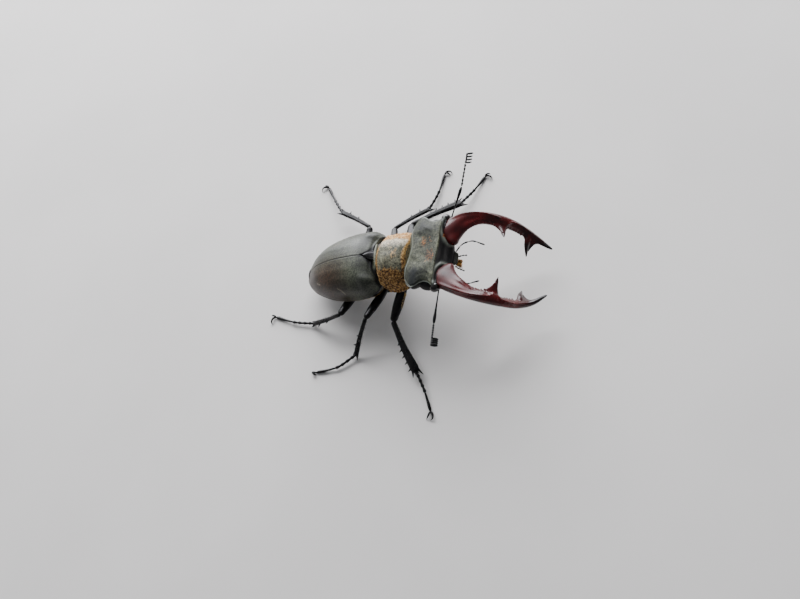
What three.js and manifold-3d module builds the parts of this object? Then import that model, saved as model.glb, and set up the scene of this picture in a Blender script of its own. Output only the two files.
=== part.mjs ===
// A male stag beetle, life size, standing on six feet. Millimetres, +X towards the jaws, +Y to its left, +Z
// up. Each hard plate of the shell and each length of a leg, feeler or jaw is its own closed solid.
import * as THREE from "three";
import { mergeVertices } from "three/addons/utils/BufferGeometryUtils.js";
import Module from "manifold-3d";

const wasm = await Module();
wasm.setup();

// ---- Driving dimensions ---------------------------------------------------------------------------------

const GAP = 0.15; // left between neighbouring plates
const THINNEST = 0.28; // radius of the finest feeler, claw or spine
const FLOOR_SINK = 0.2; // how far each foot is pressed past the floor before its sole is cut flat
const ROOM = 200; // side of the blocks that cut, larger than the beetle

// The body bends at the waist, behind the pronotum, and at the neck. Pitches are degrees, nose up from level.
const WAIST_HEIGHT = 12;
const HIND_PITCH = 16;
const THORAX_PITCH = 21;
const HEAD_PITCH = -4;
const THORAX_LENGTH = 10;
const THORAX_LEAN = -0.3; // the thorax sits this far to the right of the hind body

// The middle of the footprint, from the point on the floor under the waist.
const FOOTPRINT = { x: 3.72, y: -1.25 };

// Stations along each plate, in its own frame: [x, half width, top, side edge, underside].
const HIND_STATIONS = [
  [-25.1, 2.4, -0.3, -1.0, -1.9],
  [-23.4, 3.9, 0.9, -1.3, -3.2],
  [-20.5, 5.8, 2.7, -1.7, -4.4],
  [-16.0, 8.0, 4.2, -2.1, -5.4],
  [-10.0, 9.3, 4.9, -2.2, -6.0],
  [-5.0, 9.4, 4.8, -2.0, -6.3],
  [-2.0, 8.9, 4.4, -1.7, -6.2],
  [-0.5, 7.2, 3.7, -1.5, -5.8],
];
const THORAX_STATIONS = [
  [0.3, 6.3, 3.8, -1.8, -4.2],
  [2.0, 7.4, 4.3, -2.5, -5.6],
  [4.5, 7.8, 4.4, -3.0, -6.0],
  [7.0, 7.7, 4.1, -3.1, -5.6],
  [9.0, 6.8, 3.3, -2.9, -4.8],
  [9.9, 5.7, 2.6, -2.6, -4.2],
];
const HEAD_STATIONS = [
  [-1.1, 5.4, 1.3, 0.2, -0.9],
  [0.0, 7.9, 2.2, 0.9, -2.7],
  [1.6, 9.1, 2.9, 1.5, -3.9],
  [4.2, 8.8, 3.3, 2.0, -4.5],
  [6.2, 8.6, 3.4, 2.3, -4.4],
  [7.6, 8.9, 3.2, 2.3, -4.0],
  [8.7, 8.8, 2.0, 1.4, -3.6],
  [9.6, 6.6, 0.7, -0.2, -3.2],
  [10.6, 3.4, -0.3, -1.0, -2.6],
];

// Jaws, in the head's frame: [x, y, z, half breadth, half depth] from the root to the tip.
const JAW_STATIONS = [
  [7.4, 5.4, 0.4, 2.9, 2.2],
  [10.3, 7.1, 1.4, 2.8, 2.1],
  [13.0, 8.8, 1.9, 2.25, 1.8],
  [16.5, 10.2, 1.3, 1.7, 1.5],
  [20.0, 10.5, 0.0, 1.65, 1.4],
  [24.0, 10.4, -2.3, 1.45, 1.2],
  [27.5, 9.7, -5.0, 1.2, 1.0],
  [30.5, 8.5, -6.5, 0.8, 0.75],
  [34.0, 6.3, -6.5, 0.3, 0.3],
];
const JAW_TOOTH = { root: [22.0, 9.8, -0.9], tip: [22.9, 5.3, 0.7], radius: 1.2 };
const JAW_PRONG = { root: [28.3, 9.0, -5.7], tip: [27.4, 4.7, -8.2], radius: 1.1 };
// The small teeth of the inner edge: their places along the jaw, and how far they stand out from it.
const DENTICLES = { places: [0.37, 0.43, 0.48, 0.63, 0.7], root: 0.6, reach: 0.45, radius: 0.5 };

const EYE = { x: 7.9, y: 9.5, z: 1.7, radius: 1.25 };
const LABRUM = { x: 11.0, width: 3.4, length: 1.6, thickness: 0.9, z: -1.5 };
const BRUSH = { centre: [12.7, -0.4, -2.8], radii: [1.0, 1.3, 0.5] };
const SCUTELLUM = { front: -0.2, length: 3.2, halfWidth: 1.9, shoulder: 0.6 };
const SCUTELLUM_CUT = { ahead: 2, bottom: 2.6, height: 3 }; // its prism reaches past the plate it is cut from
const SUTURE = 0.1; // the slit between the two wing cases
const WING_CASE_WRAP = 0.5; // how far the wing cases turn under their side edges
// The soft underside of the hind body, against the rim of the wing cases.
const BELLY = { inset: 0.6, narrowest: 1.2, rise: 1.5, set: 0.2 };
const ABDOMEN_FRONT = -9.2; // where the abdomen meets the metathorax
const PRONOTUM_EDGE = -3.2; // the height where pronotum and prosternum meet
const WAIST = { centre: [-0.2, 0, -1.2], radii: [2.4, 6.2, 3.9] };

const PALPS = {
  maxillary: { root: [10.4, 2.6, -3.1], bend: [12.2, 5.6, -3.1], tip: [17.6, 5.0, -2.9], radius: 0.34 },
  labial: { root: [10.8, 1.2, -3.1], bend: [12.2, 2.0, -3.2], tip: [13.5, 2.4, -3.3], radius: 0.3 },
};

// Antennae: a long scape, then an elbow and a funicle that ends in four comb-like plates. Angles are
// [yaw, pitch] in the head's frame.
const ANTENNA = { root: [8.9, 9.1, 1.1], scape: 9.4, funicle: 9.3, radius: 0.29, elbow: 0.38 };
const ANTENNA_POSE = {
  left: { scape: [78, 12], funicle: [88, 6] },
  right: { scape: [-90, -4], funicle: [-77, 34] },
};
const LAMELLAE = { count: 4, pitch: 0.85, length: 1.5, lean: 0.3, breadth: 0.55, thickness: 0.27 };

// Legs. Each hip is given on the left side, from the point on the floor under the waist. The lengths are
// those of femur, tibia and tarsus; thigh, shin and fan are half thicknesses, the fan at the tibia's far end.
const LEGS = {
  front: { hip: [6.1, 4.2, 8.6], femur: 10.9, tibia: 15.0, tarsus: 10.6, thigh: 1.35, shin: 0.8, fan: 1.25 },
  middle: { hip: [0.2, 4.5, 5.6], femur: 11.1, tibia: 11.0, tarsus: 12.0, thigh: 1.15, shin: 0.6, fan: 0.8 },
  hind: { hip: [-8.4, 4.2, 3.9], femur: 10.0, tibia: 11.3, tarsus: 12.6, thigh: 1.2, shin: 0.6, fan: 0.8 },
};
// Degrees: [yaw, pitch] of femur and tibia, then the yaws of the tarsus, whose far end rests on the floor,
// and of its claws. Bow and bend are how far tibia and tarsus curve sideways, to the left of their heading.
const STANCE = {
  front_left: { femur: [104, -18], tibia: [36, -12], bow: 0.3, tarsus: 62, bend: -0.3, claws: 32 },
  front_right: { femur: [-107, -23], tibia: [-58, -9], bow: -0.3, tarsus: -63, bend: 0.3, claws: -80 },
  middle_left: { femur: [104, -17], tibia: [38, -6], bow: 0.2, tarsus: 79, bend: -0.6, claws: 42 },
  middle_right: { femur: [-107, 14], tibia: [-117, -40], bow: -0.2, tarsus: -154, bend: 1.2, claws: -164 },
  hind_left: { femur: [93, 2], tibia: [152, -5], bow: -0.2, tarsus: 127, bend: 0.2, claws: 172 },
  hind_right: { femur: [-107, 16], tibia: [-177, -30], bow: 0.2, tarsus: 172, bend: 0.6, claws: -170 },
};
const COXA = { radii: [1.7, 2.3, 1.7], inward: 0.9, drop: 0.5 };
const THIGH_ENDS = 0.74; // a femur's thickness at its ends, as a share of its middle
const LEG_DEPTH = 0.8; // a leg is this much thinner one way than the other
const FAN_POWER = 2.2; // a tibia keeps its width at first and spreads late
const SPINES = { front: [0.4, 0.6, 0.76, 0.9], middle: [0.5, 0.75], hind: [0.45, 0.75] }; // along the tibia
const SPINE = { reach: 0.7, slant: 0.7, radius: 0.4 };
const FORK = { root: 0.93, outer: 1.0, inner: 1.4, spread: 1.1 }; // the two spurs at the tibia's far end
const TARSUS_JOINTS = [0, 0.14, 0.27, 0.4, 0.53, 1]; // where each of its five lengths begins and ends
const TARSUS_RADIUS = 0.44;
const TARSUS_WAIST = 0.72; // the narrow end of each length, as a share of its wide end
const STEP_BACK = 0.004; // share of the tarsus over which it narrows again after each length
const ARCH = { share: 0.35, rise: 0.2 }; // height of the middle of a tarsus between its two ends
const CLAW = { length: 2.0, spread: 28, radius: 0.31, crest: 0.8, bend: 0.55 };

const COLOURS = {
  shell: 0x3f443c,
  pronotum: 0x7a6244,
  underside: 0x15110f,
  jaw: 0x4a1216,
  leg: 0x121214,
  eye: 0x0a0a0a,
  brush: 0xd08a2e,
};
const SIDES = [["left", 1], ["right", -1]];

// ---- Tools ----------------------------------------------------------------------------------------------

const radians = THREE.MathUtils.degToRad;
const mix = THREE.MathUtils.lerp;
const vector = (list) => new THREE.Vector3(...list);
const mirrored = ([x, y, z], side) => [x, y * side, z];
const power = (value, exponent) => Math.sign(value) * Math.abs(value) ** exponent;

function toSolid(geometry) {
  geometry.deleteAttribute("normal");
  geometry.deleteAttribute("uv");
  const merged = mergeVertices(geometry, 1e-4);
  return new wasm.Manifold(
    new wasm.Mesh({
      numProp: 3,
      vertProperties: merged.attributes.position.array,
      triVerts: new Uint32Array(merged.index.array),
    }),
  );
}

function toGeometry(solid) {
  const mesh = solid.getMesh();
  const positions = new Float32Array(mesh.numVert * 3);
  for (let i = 0; i < mesh.numVert; i++) {
    positions.set(mesh.vertProperties.subarray(i * mesh.numProp, i * mesh.numProp + 3), i * 3);
  }
  const geometry = new THREE.BufferGeometry();
  geometry.setAttribute("position", new THREE.BufferAttribute(positions, 3));
  geometry.setIndex(new THREE.BufferAttribute(new Uint32Array(mesh.triVerts), 1));
  geometry.computeVertexNormals();
  return geometry;
}

// A closed solid pulled along a line: place(t, angle) puts each ring, and t = 0 and t = 1 are single points.
function loft(place, steps, sides) {
  const geometry = new THREE.SphereGeometry(1, sides, steps);
  const position = geometry.attributes.position;
  const columns = sides + 1;
  for (let i = 0; i < position.count; i++) {
    const t = Math.floor(i / columns) / steps;
    const angle = Math.PI - (2 * Math.PI * ((i % columns) % sides)) / sides;
    const placed = place(t, angle);
    position.setXYZ(i, placed.x, placed.y, placed.z);
  }
  return toSolid(geometry);
}

// One column of a table of stations, as a smooth function of the table's first column.
const SAMPLES_PER_STATION = 10;
function column(stations, index) {
  const points = stations.map((row) => new THREE.Vector3(row[0], row[index], 0));
  const samples = new THREE.CatmullRomCurve3(points).getPoints(stations.length * SAMPLES_PER_STATION);
  return (x) => {
    const after = samples.findIndex((sample) => sample.x >= x);
    if (after === 0) return samples[0].y;
    if (after < 0) return samples[samples.length - 1].y;
    const [a, b] = [samples[after - 1], samples[after]];
    return mix(a.y, b.y, (x - a.x) / (b.x - a.x));
  };
}

// A plate-like body from its stations: a domed upper side down to the side edge, a rounded lower side and
// blunt ends. The exponents dome, belly and blunt make each of them fuller as they rise above 2.
function shell(stations, { grow = 0, steps = 12, sides = 18, dome = 2.2, belly = 2.4, blunt = 8 } = {}) {
  const [width, top, edge, under] = [1, 2, 3, 4].map((index) => column(stations, index));
  const back = stations[0][0] - grow;
  const front = stations[stations.length - 1][0] + grow;
  return loft(
    (t, angle) => {
      const share = (1 - Math.cos(Math.PI * t)) / 2;
      const x = mix(back, front, share);
      const closing = Math.max(0, 1 - Math.abs(2 * share - 1) ** blunt) ** (1 / blunt);
      const rim = edge(x);
      const rise = Math.sin(angle);
      const upper = (top(x) + grow - rim) * power(rise, 2 / dome);
      const lower = (rim - under(x) + grow) * power(rise, 2 / belly);
      const y = (width(x) + grow) * power(Math.cos(angle), 2 / dome);
      return new THREE.Vector3(x, y * closing, rim + (rise > 0 ? upper : lower) * closing);
    },
    steps,
    sides,
  );
}

// A limb of oval section along a curve, with low conical ends. The rings stand at the given shares u of the
// curve's length, size(u) gives [half breadth, half depth] there, and up is the way that the depth points.
const END_CONE = 0.4; // height of an end, in half breadths
const evenly = (count) => Array.from({ length: count }, (_, i) => i / (count - 1));
function limb(curve, size, { grow = 0, rings = evenly(2), sides = 8, up = [0, 0, 1] } = {}) {
  const steps = rings.length + 1;
  return loft(
    (t, angle) => {
      const ring = THREE.MathUtils.clamp(Math.round(t * steps) - 1, 0, rings.length - 1);
      const u = rings[ring];
      const tangent = curve.getTangentAt(u).normalize();
      const side = vector(up).cross(tangent).normalize();
      const over = tangent.clone().cross(side);
      const [breadth, depth] = size(u);
      const end = (t === 1) - (t === 0);
      const open = end ? 0 : 1;
      return curve
        .getPointAt(u)
        .addScaledVector(tangent, end * (breadth * END_CONE + grow))
        .addScaledVector(side, Math.cos(angle) * (breadth + grow) * open)
        .addScaledVector(over, Math.sin(angle) * (depth + grow) * open);
    },
    steps,
    sides,
  );
}

const through = (...points) => new THREE.CatmullRomCurve3(points.map((p) => (p.isVector3 ? p : vector(p))));
const straight = (from, to) => new THREE.LineCurve3(from, to);
const tapered = (thick, thin = THINNEST) => (u) => [mix(thick, thin, u), mix(thick, thin, u)];
const spike = (from, to, thick) => limb(straight(from, to), tapered(thick), { sides: 4 });

// The largest of the bodies that a cut leaves.
const largest = (solid) => solid.decompose().reduce((a, b) => (a.volume() > b.volume() ? a : b));

function ellipsoid(centre, radii, grow = 0) {
  const geometry = new THREE.SphereGeometry(1, 8, 6);
  geometry.scale(...radii.map((radius) => radius + grow));
  geometry.translate(...centre);
  return toSolid(geometry);
}

function block(size, centre) {
  const geometry = new THREE.BoxGeometry(...size);
  geometry.translate(...centre);
  return toSolid(geometry);
}

// All the room on one side of a plane: beyond the place from on an axis, towards + or -.
function beyond(axis, from, way) {
  const centre = new THREE.Vector3();
  centre[axis] = from + (way * ROOM) / 2;
  return block([ROOM, ROOM, ROOM], centre);
}

function heading([yaw, pitch]) {
  const level = Math.cos(radians(pitch));
  return new THREE.Vector3(
    level * Math.cos(radians(yaw)),
    level * Math.sin(radians(yaw)),
    Math.sin(radians(pitch)),
  );
}

// ---- The frames of the body -----------------------------------------------------------------------------

const beetle = new THREE.Group();
beetle.name = "stag_beetle";
const hind = new THREE.Group();
hind.position.z = WAIST_HEIGHT;
hind.rotation.y = radians(-HIND_PITCH);
const thorax = new THREE.Group();
thorax.position.set(0, THORAX_LEAN, WAIST_HEIGHT);
thorax.rotation.y = radians(-THORAX_PITCH);
const head = new THREE.Group();
head.position.set(THORAX_LENGTH, -THORAX_LEAN, 0);
head.rotation.y = radians(THORAX_PITCH - HEAD_PITCH);
thorax.add(head);
beetle.add(hind, thorax);
beetle.updateMatrixWorld(true);

// A solid of one frame, given in another.
function carried(solid, from, to) {
  const matrix = to.matrixWorld.clone().invert().multiply(from.matrixWorld);
  return solid.transform(matrix.elements);
}

function add(frame, name, solid, colour, roughness = 0.45) {
  const material = new THREE.MeshStandardMaterial({ color: colour, roughness, metalness: 0 });
  const mesh = new THREE.Mesh(toGeometry(solid), material);
  mesh.name = name;
  frame.add(mesh);
}

// ---- Hind body: wing cases, scutellum, abdomen and metathorax -------------------------------------------

// The wing cases are one dome with a shallow flat underside, parted along the suture and around the
// scutellum. The soft underside is narrower, and fills the dome from below.
const wingCaseStations = HIND_STATIONS.map(([x, width, top, edge]) => [
  x,
  width,
  top,
  edge,
  edge - WING_CASE_WRAP,
]);
const bellyStations = HIND_STATIONS.map(([x, width, , edge, under]) => [
  x + BELLY.set,
  Math.max(BELLY.narrowest, width - BELLY.inset),
  edge + BELLY.rise,
  edge,
  under,
]);
const dome = (grow = 0) => shell(wingCaseStations, { grow, steps: 14, dome: 2.25, belly: 6 });
const belly = (grow = 0) => shell(bellyStations, { grow, sides: 16 });

// The upright prism that parts the scutellum, a small triangle that points backwards, from the wing cases.
function scutellumPrism(grow) {
  const front = SCUTELLUM.front + SCUTELLUM_CUT.ahead;
  const shoulder = SCUTELLUM.front - SCUTELLUM.shoulder;
  const halfWidth = SCUTELLUM.halfWidth + grow;
  const outline = new THREE.Shape();
  outline.moveTo(front, -halfWidth);
  outline.lineTo(front, halfWidth);
  outline.lineTo(shoulder, halfWidth);
  outline.lineTo(SCUTELLUM.front - SCUTELLUM.length - grow, 0);
  outline.lineTo(shoulder, -halfWidth);
  const depth = SCUTELLUM_CUT.height + grow;
  const geometry = new THREE.ExtrudeGeometry(outline, { depth, bevelEnabled: false });
  geometry.translate(0, 0, SCUTELLUM_CUT.bottom - grow);
  return toSolid(geometry);
}

const wingCases = dome();
const openedCases = wingCases.subtract(scutellumPrism(GAP));
for (const [name, side] of SIDES) {
  const half = beyond("y", (side * SUTURE) / 2, side);
  add(hind, `elytron_${name}`, openedCases.intersect(half), COLOURS.shell);
}
add(hind, "scutellum", wingCases.intersect(scutellumPrism(0)), COLOURS.shell);

const underBody = belly().subtract(dome(GAP));
const rearHalf = underBody.intersect(beyond("x", ABDOMEN_FRONT, -1));
const frontHalf = underBody.intersect(beyond("x", ABDOMEN_FRONT + GAP, 1));
add(hind, "abdomen", largest(rearHalf), COLOURS.underside);
add(hind, "metathorax", largest(frontHalf), COLOURS.underside);

// ---- Thorax: pronotum, prosternum and the narrow mesothorax at the waist --------------------------------

const thoraxShell = (grow = 0) => shell(THORAX_STATIONS, { grow, dome: 2.05, blunt: 10 });
const upperHalf = thoraxShell().intersect(beyond("z", PRONOTUM_EDGE, 1));
const lowerHalf = thoraxShell().intersect(beyond("z", PRONOTUM_EDGE - GAP, -1));
add(thorax, "pronotum", upperHalf, COLOURS.pronotum, 0.8);
add(thorax, "prosternum", lowerHalf, COLOURS.underside);
const waist = ellipsoid(WAIST.centre, WAIST.radii).subtract(thoraxShell(GAP));
const hindBodyInThorax = carried(dome(GAP).add(belly(GAP)), hind, thorax);
add(thorax, "mesothorax", largest(waist.subtract(hindBodyInThorax)), COLOURS.underside);

// ---- Head -----------------------------------------------------------------------------------------------

const headShell = (grow = 0) => shell(HEAD_STATIONS, { grow, steps: 14, dome: 2.8, belly: 2.6, blunt: 10 });
const eyeRadii = Array(3).fill(EYE.radius);
const eyeball = (side, grow = 0) => ellipsoid([EYE.x, side * EYE.y, EYE.z], eyeRadii, grow);
const wholeHead = headShell(GAP);
const thoraxInHead = carried(thoraxShell(GAP), thorax, head);
const capsule = headShell().subtract(thoraxInHead).subtract(eyeball(1, GAP)).subtract(eyeball(-1, GAP));
add(head, "head", capsule, COLOURS.shell);

const labrumSize = [LABRUM.length, LABRUM.width, LABRUM.thickness];
const labrum = block(labrumSize, [LABRUM.x, 0, LABRUM.z]).subtract(wholeHead);
add(head, "labrum", labrum, COLOURS.underside);
const brush = ellipsoid(BRUSH.centre, BRUSH.radii).subtract(wholeHead);
add(head, "mouth_brush", brush, COLOURS.brush, 0.6);

// ---- Jaws and eyes --------------------------------------------------------------------------------------

function jaw(side, grow = 0) {
  const curve = through(...JAW_STATIONS.map((row) => mirrored(row, side)));
  // The stations are spaced unevenly, so a share of the curve's length becomes a share of the stations.
  const shares = JAW_STATIONS.map((row, i) => [i / (JAW_STATIONS.length - 1), row[3], row[4]]);
  const [breadthAt, depthAt] = [column(shares, 1), column(shares, 2)];
  const size = (u) => {
    const share = curve.getUtoTmapping(u);
    return [breadthAt(share), depthAt(share)];
  };
  let made = limb(curve, size, { grow, rings: evenly(13), sides: 8 });
  for (const part of [JAW_TOOTH, JAW_PRONG]) {
    const [root, tip] = [part.root, part.tip].map((point) => vector(mirrored(point, side)));
    made = made.add(limb(straight(root, tip), tapered(part.radius), { grow, sides: 6 }));
  }
  for (const place of DENTICLES.places) {
    const centre = curve.getPointAt(place);
    const tangent = curve.getTangentAt(place);
    const inward = new THREE.Vector3(tangent.y, -tangent.x, 0).normalize().multiplyScalar(side);
    const [breadth] = size(place);
    const root = centre.clone().addScaledVector(inward, breadth * DENTICLES.root);
    const tip = centre.clone().addScaledVector(inward, breadth + DENTICLES.reach);
    made = made.add(spike(root, tip, DENTICLES.radius));
  }
  return made;
}

for (const [name, side] of SIDES) {
  const outside = jaw(side).subtract(wholeHead).subtract(eyeball(side, GAP));
  add(head, `jaw_${name}`, largest(outside), COLOURS.jaw, 0.2);
  add(head, `eye_${name}`, eyeball(side), COLOURS.eye, 0.15);
}

// ---- Palps ----------------------------------------------------------------------------------------------

for (const [kind, palp] of Object.entries(PALPS)) {
  for (const [name, side] of SIDES) {
    const points = [palp.root, palp.bend, palp.tip].map((point) => mirrored(point, side));
    const made = limb(through(...points), tapered(palp.radius), { rings: evenly(4), sides: 5 });
    add(head, `${kind}_palp_${name}`, largest(made.subtract(wholeHead)), COLOURS.underside);
  }
}

// ---- Antennae -------------------------------------------------------------------------------------------

for (const [name, side] of SIDES) {
  const pose = ANTENNA_POSE[name];
  const root = vector(mirrored(ANTENNA.root, side));
  const elbow = root.clone().addScaledVector(heading(pose.scape), ANTENNA.scape);
  const along = heading(pose.funicle);
  const tip = elbow.clone().addScaledVector(along, ANTENNA.funicle);
  const scapeSize = tapered(ANTENNA.radius, ANTENNA.elbow);
  const scape = (grow) => limb(straight(root, elbow), scapeSize, { grow, sides: 6 });
  const bare = scape(0).subtract(wholeHead).subtract(eyeball(side, GAP)).subtract(jaw(side, GAP));
  add(head, `scape_${name}`, largest(bare), COLOURS.leg);

  let funicle = limb(straight(elbow, tip), tapered(ANTENNA.radius), { sides: 6 });
  const forward = new THREE.Vector3(1, 0, 0).addScaledVector(along, -along.x).normalize();
  const up = along.clone().cross(forward).toArray();
  for (let i = 0; i < LAMELLAE.count; i++) {
    const foot = tip.clone().addScaledVector(along, -i * LAMELLAE.pitch);
    const end = foot.clone().addScaledVector(forward, LAMELLAE.length).addScaledVector(along, LAMELLAE.lean);
    const blade = () => [LAMELLAE.thickness, LAMELLAE.breadth];
    funicle = funicle.add(limb(straight(foot, end), blade, { sides: 4, up }));
  }
  add(head, `funicle_${name}`, largest(funicle.subtract(scape(GAP))), COLOURS.leg);
}

// ---- Legs -----------------------------------------------------------------------------------------------

const ground = beyond("z", 0, -1);
const thoraxInFloor = carried(thoraxShell(GAP), thorax, beetle);
const hindInFloor = carried(belly(GAP).add(dome(GAP)), hind, beetle);
const waistInFloor = carried(ellipsoid(WAIST.centre, WAIST.radii, GAP), thorax, beetle);
const bodyBehind = { front: thoraxInFloor, middle: hindInFloor.add(waistInFloor), hind: hindInFloor };

// The tibia, bare and with its spines: the bare one is also the room that the tarsus leaves around it.
function tibia(knee, ankle, bow, leg, spines) {
  const axis = ankle.clone().sub(knee).normalize();
  const leftward = new THREE.Vector3(-axis.y, axis.x, 0).normalize();
  const outward = leftward.clone().multiplyScalar(Math.sign(bow));
  const curve = through(knee, knee.clone().lerp(ankle, 0.5).addScaledVector(leftward, bow), ankle);
  const size = (u) => [mix(leg.shin, leg.fan, u ** FAN_POWER), mix(leg.shin, leg.shin * LEG_DEPTH, u)];
  const bare = (grow) => limb(curve, size, { grow, rings: evenly(4), sides: 6 });
  let spiny = bare(0);
  for (const place of spines) {
    const root = curve.getPointAt(place);
    const [breadth] = size(place);
    const tip = root.clone().addScaledVector(outward, breadth + SPINE.reach);
    tip.addScaledVector(axis, SPINE.slant);
    spiny = spiny.add(spike(root, tip, SPINE.radius));
  }
  // The far end is forked: a short outer spur and a longer inner one.
  for (const [turn, length] of [[1, FORK.outer], [-1, FORK.inner]]) {
    const spread = turn * leg.fan * FORK.spread;
    const tip = ankle.clone().addScaledVector(axis, length).addScaledVector(outward, spread);
    spiny = spiny.add(spike(curve.getPointAt(FORK.root), tip, SPINE.radius));
  }
  return { bare, spiny };
}

// The tarsus runs down to the floor in five lengths, each wider at its far end, and ends in two claws.
function tarsus(ankle, stance, length) {
  const level = heading([stance.tarsus, 0]);
  const leftward = new THREE.Vector3(-level.y, level.x, 0);
  const foot = ankle.clone().addScaledVector(level, length);
  foot.z = TARSUS_RADIUS - FLOOR_SINK;
  const arch = ankle.clone().lerp(foot, 0.5).addScaledVector(leftward, stance.bend);
  arch.z = mix(foot.z, ankle.z, ARCH.share) + ARCH.rise;
  const inner = TARSUS_JOINTS.slice(1, -1);
  const rings = [0, ...inner.flatMap((joint) => [joint, joint + STEP_BACK]), 1];
  const widening = (u) => {
    const after = TARSUS_JOINTS.findIndex((joint) => joint >= u);
    const start = TARSUS_JOINTS[Math.max(after - 1, 0)];
    const share = u === 0 ? 0 : (u - start) / (TARSUS_JOINTS[after] - start);
    return Array(2).fill(TARSUS_RADIUS * mix(TARSUS_WAIST, 1, share));
  };
  let made = limb(through(ankle, arch, foot), widening, { rings, sides: 5 });
  for (const turn of [1, -1]) {
    const way = heading([stance.claws + turn * CLAW.spread, 0]);
    const crest = foot.clone().addScaledVector(way, CLAW.length * CLAW.bend);
    crest.z = CLAW.crest;
    const tip = foot.clone().addScaledVector(way, CLAW.length);
    tip.z = THINNEST - FLOOR_SINK / 2;
    made = made.add(limb(through(foot, crest, tip), tapered(CLAW.radius), { rings: evenly(3), sides: 4 }));
  }
  return made;
}

for (const [pair, leg] of Object.entries(LEGS)) {
  for (const [name, side] of SIDES) {
    const label = `${pair}_${name}`;
    const stance = STANCE[label];
    const hip = vector(mirrored(leg.hip, side));
    const knee = hip.clone().addScaledVector(heading(stance.femur), leg.femur);
    const ankle = knee.clone().addScaledVector(heading(stance.tibia), leg.tibia);

    const coxaCentre = [hip.x, hip.y - side * COXA.inward, hip.z - COXA.drop];
    const coxa = (grow) => ellipsoid(coxaCentre, COXA.radii, grow);
    add(beetle, `coxa_${label}`, largest(coxa(0).subtract(bodyBehind[pair])), COLOURS.leg);

    const thigh = (u) => {
      const half = leg.thigh * mix(THIGH_ENDS, 1, Math.sin(Math.PI * u));
      return [half, half * LEG_DEPTH];
    };
    const femur = (grow) => limb(straight(hip, knee), thigh, { grow, rings: evenly(4), sides: 7 });
    const clearFemur = femur(0).subtract(coxa(GAP)).subtract(bodyBehind[pair]);
    add(beetle, `femur_${label}`, largest(clearFemur), COLOURS.leg);

    const shin = tibia(knee, ankle, stance.bow, leg, SPINES[pair]);
    add(beetle, `tibia_${label}`, largest(shin.spiny.subtract(femur(GAP))), COLOURS.leg);

    const foot = tarsus(ankle, stance, leg.tarsus);
    const shod = foot.subtract(shin.bare(GAP).add(shin.spiny)).subtract(ground);
    add(beetle, `tarsus_${label}`, largest(shod), COLOURS.leg);
  }
}

beetle.position.set(-FOOTPRINT.x, -FOOTPRINT.y, 0);

export default beetle;
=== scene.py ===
"""A male stag beetle, life size, on six feet.

Built in millimetres in the frames of its hind body, thorax and head, then placed in metres: +X towards the
jaws, +Y to the beetle's left, +Z up.
"""
import math

import bmesh
import bpy
import numpy as np
from mathutils import Matrix, Quaternion, Vector


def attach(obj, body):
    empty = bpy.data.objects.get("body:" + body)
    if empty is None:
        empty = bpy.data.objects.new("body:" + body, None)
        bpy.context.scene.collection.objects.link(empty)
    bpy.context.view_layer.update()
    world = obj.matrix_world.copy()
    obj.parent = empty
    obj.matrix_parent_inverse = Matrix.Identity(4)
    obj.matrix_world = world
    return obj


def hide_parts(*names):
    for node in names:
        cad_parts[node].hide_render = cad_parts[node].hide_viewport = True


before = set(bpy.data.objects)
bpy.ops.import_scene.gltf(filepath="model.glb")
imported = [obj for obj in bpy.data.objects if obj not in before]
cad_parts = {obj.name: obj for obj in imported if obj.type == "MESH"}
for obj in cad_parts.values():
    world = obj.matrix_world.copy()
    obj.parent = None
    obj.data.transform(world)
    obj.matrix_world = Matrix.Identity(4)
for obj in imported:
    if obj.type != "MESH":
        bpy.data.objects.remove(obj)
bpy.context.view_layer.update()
scene = bpy.context.scene
rng = np.random.default_rng(7)

MM = 0.001
SIDES = (("left", 1), ("right", -1))

# ---- The beetle's measures, in millimetres and degrees ---------------------------------

WAIST_HEIGHT = 12
HIND_PITCH = 16
HIND_YAW = 2.0
THORAX_PITCH = 21
HEAD_PITCH = -4
THORAX_LENGTH = 10
THORAX_LEAN = -0.3
FOOTPRINT = (3.72, -1.25)

# Stations along each plate: x, half width, top, side edge, underside.
HIND_STATIONS = (
    (-25.1, 2.9, -0.3, -1.0, -1.9),
    (-23.4, 4.6, 0.9, -1.4, -3.2),
    (-20.5, 6.4, 2.7, -1.8, -4.4),
    (-16.0, 8.2, 4.2, -2.1, -5.4),
    (-10.0, 9.3, 4.9, -2.2, -6.0),
    (-5.0, 9.4, 4.8, -2.0, -6.3),
    (-2.0, 8.9, 4.4, -1.7, -6.2),
    (-0.5, 7.2, 3.7, -1.5, -5.8),
)
THORAX_STATIONS = (
    (1.2, 6.4, 3.85, -1.9, -4.4),
    (2.6, 7.4, 4.3, -2.5, -5.6),
    (4.6, 7.8, 4.4, -3.0, -6.0),
    (7.0, 7.7, 4.1, -3.1, -5.6),
    (9.0, 6.8, 3.3, -2.9, -4.8),
    (9.9, 5.7, 2.6, -2.6, -4.2),
)
HEAD_STATIONS = (
    (-1.1, 5.4, 1.3, 0.2, -0.9),
    (0.0, 7.9, 2.2, 0.9, -2.7),
    (1.6, 9.1, 2.9, 1.5, -3.9),
    (4.2, 8.8, 3.3, 2.0, -4.5),
    (6.2, 8.6, 3.4, 2.3, -4.4),
    (7.6, 8.9, 3.2, 2.3, -4.0),
    (8.7, 8.8, 2.0, 1.4, -3.6),
    (9.6, 6.6, 0.7, -0.2, -3.2),
    (10.6, 3.4, -0.3, -1.0, -2.6),
)
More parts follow.
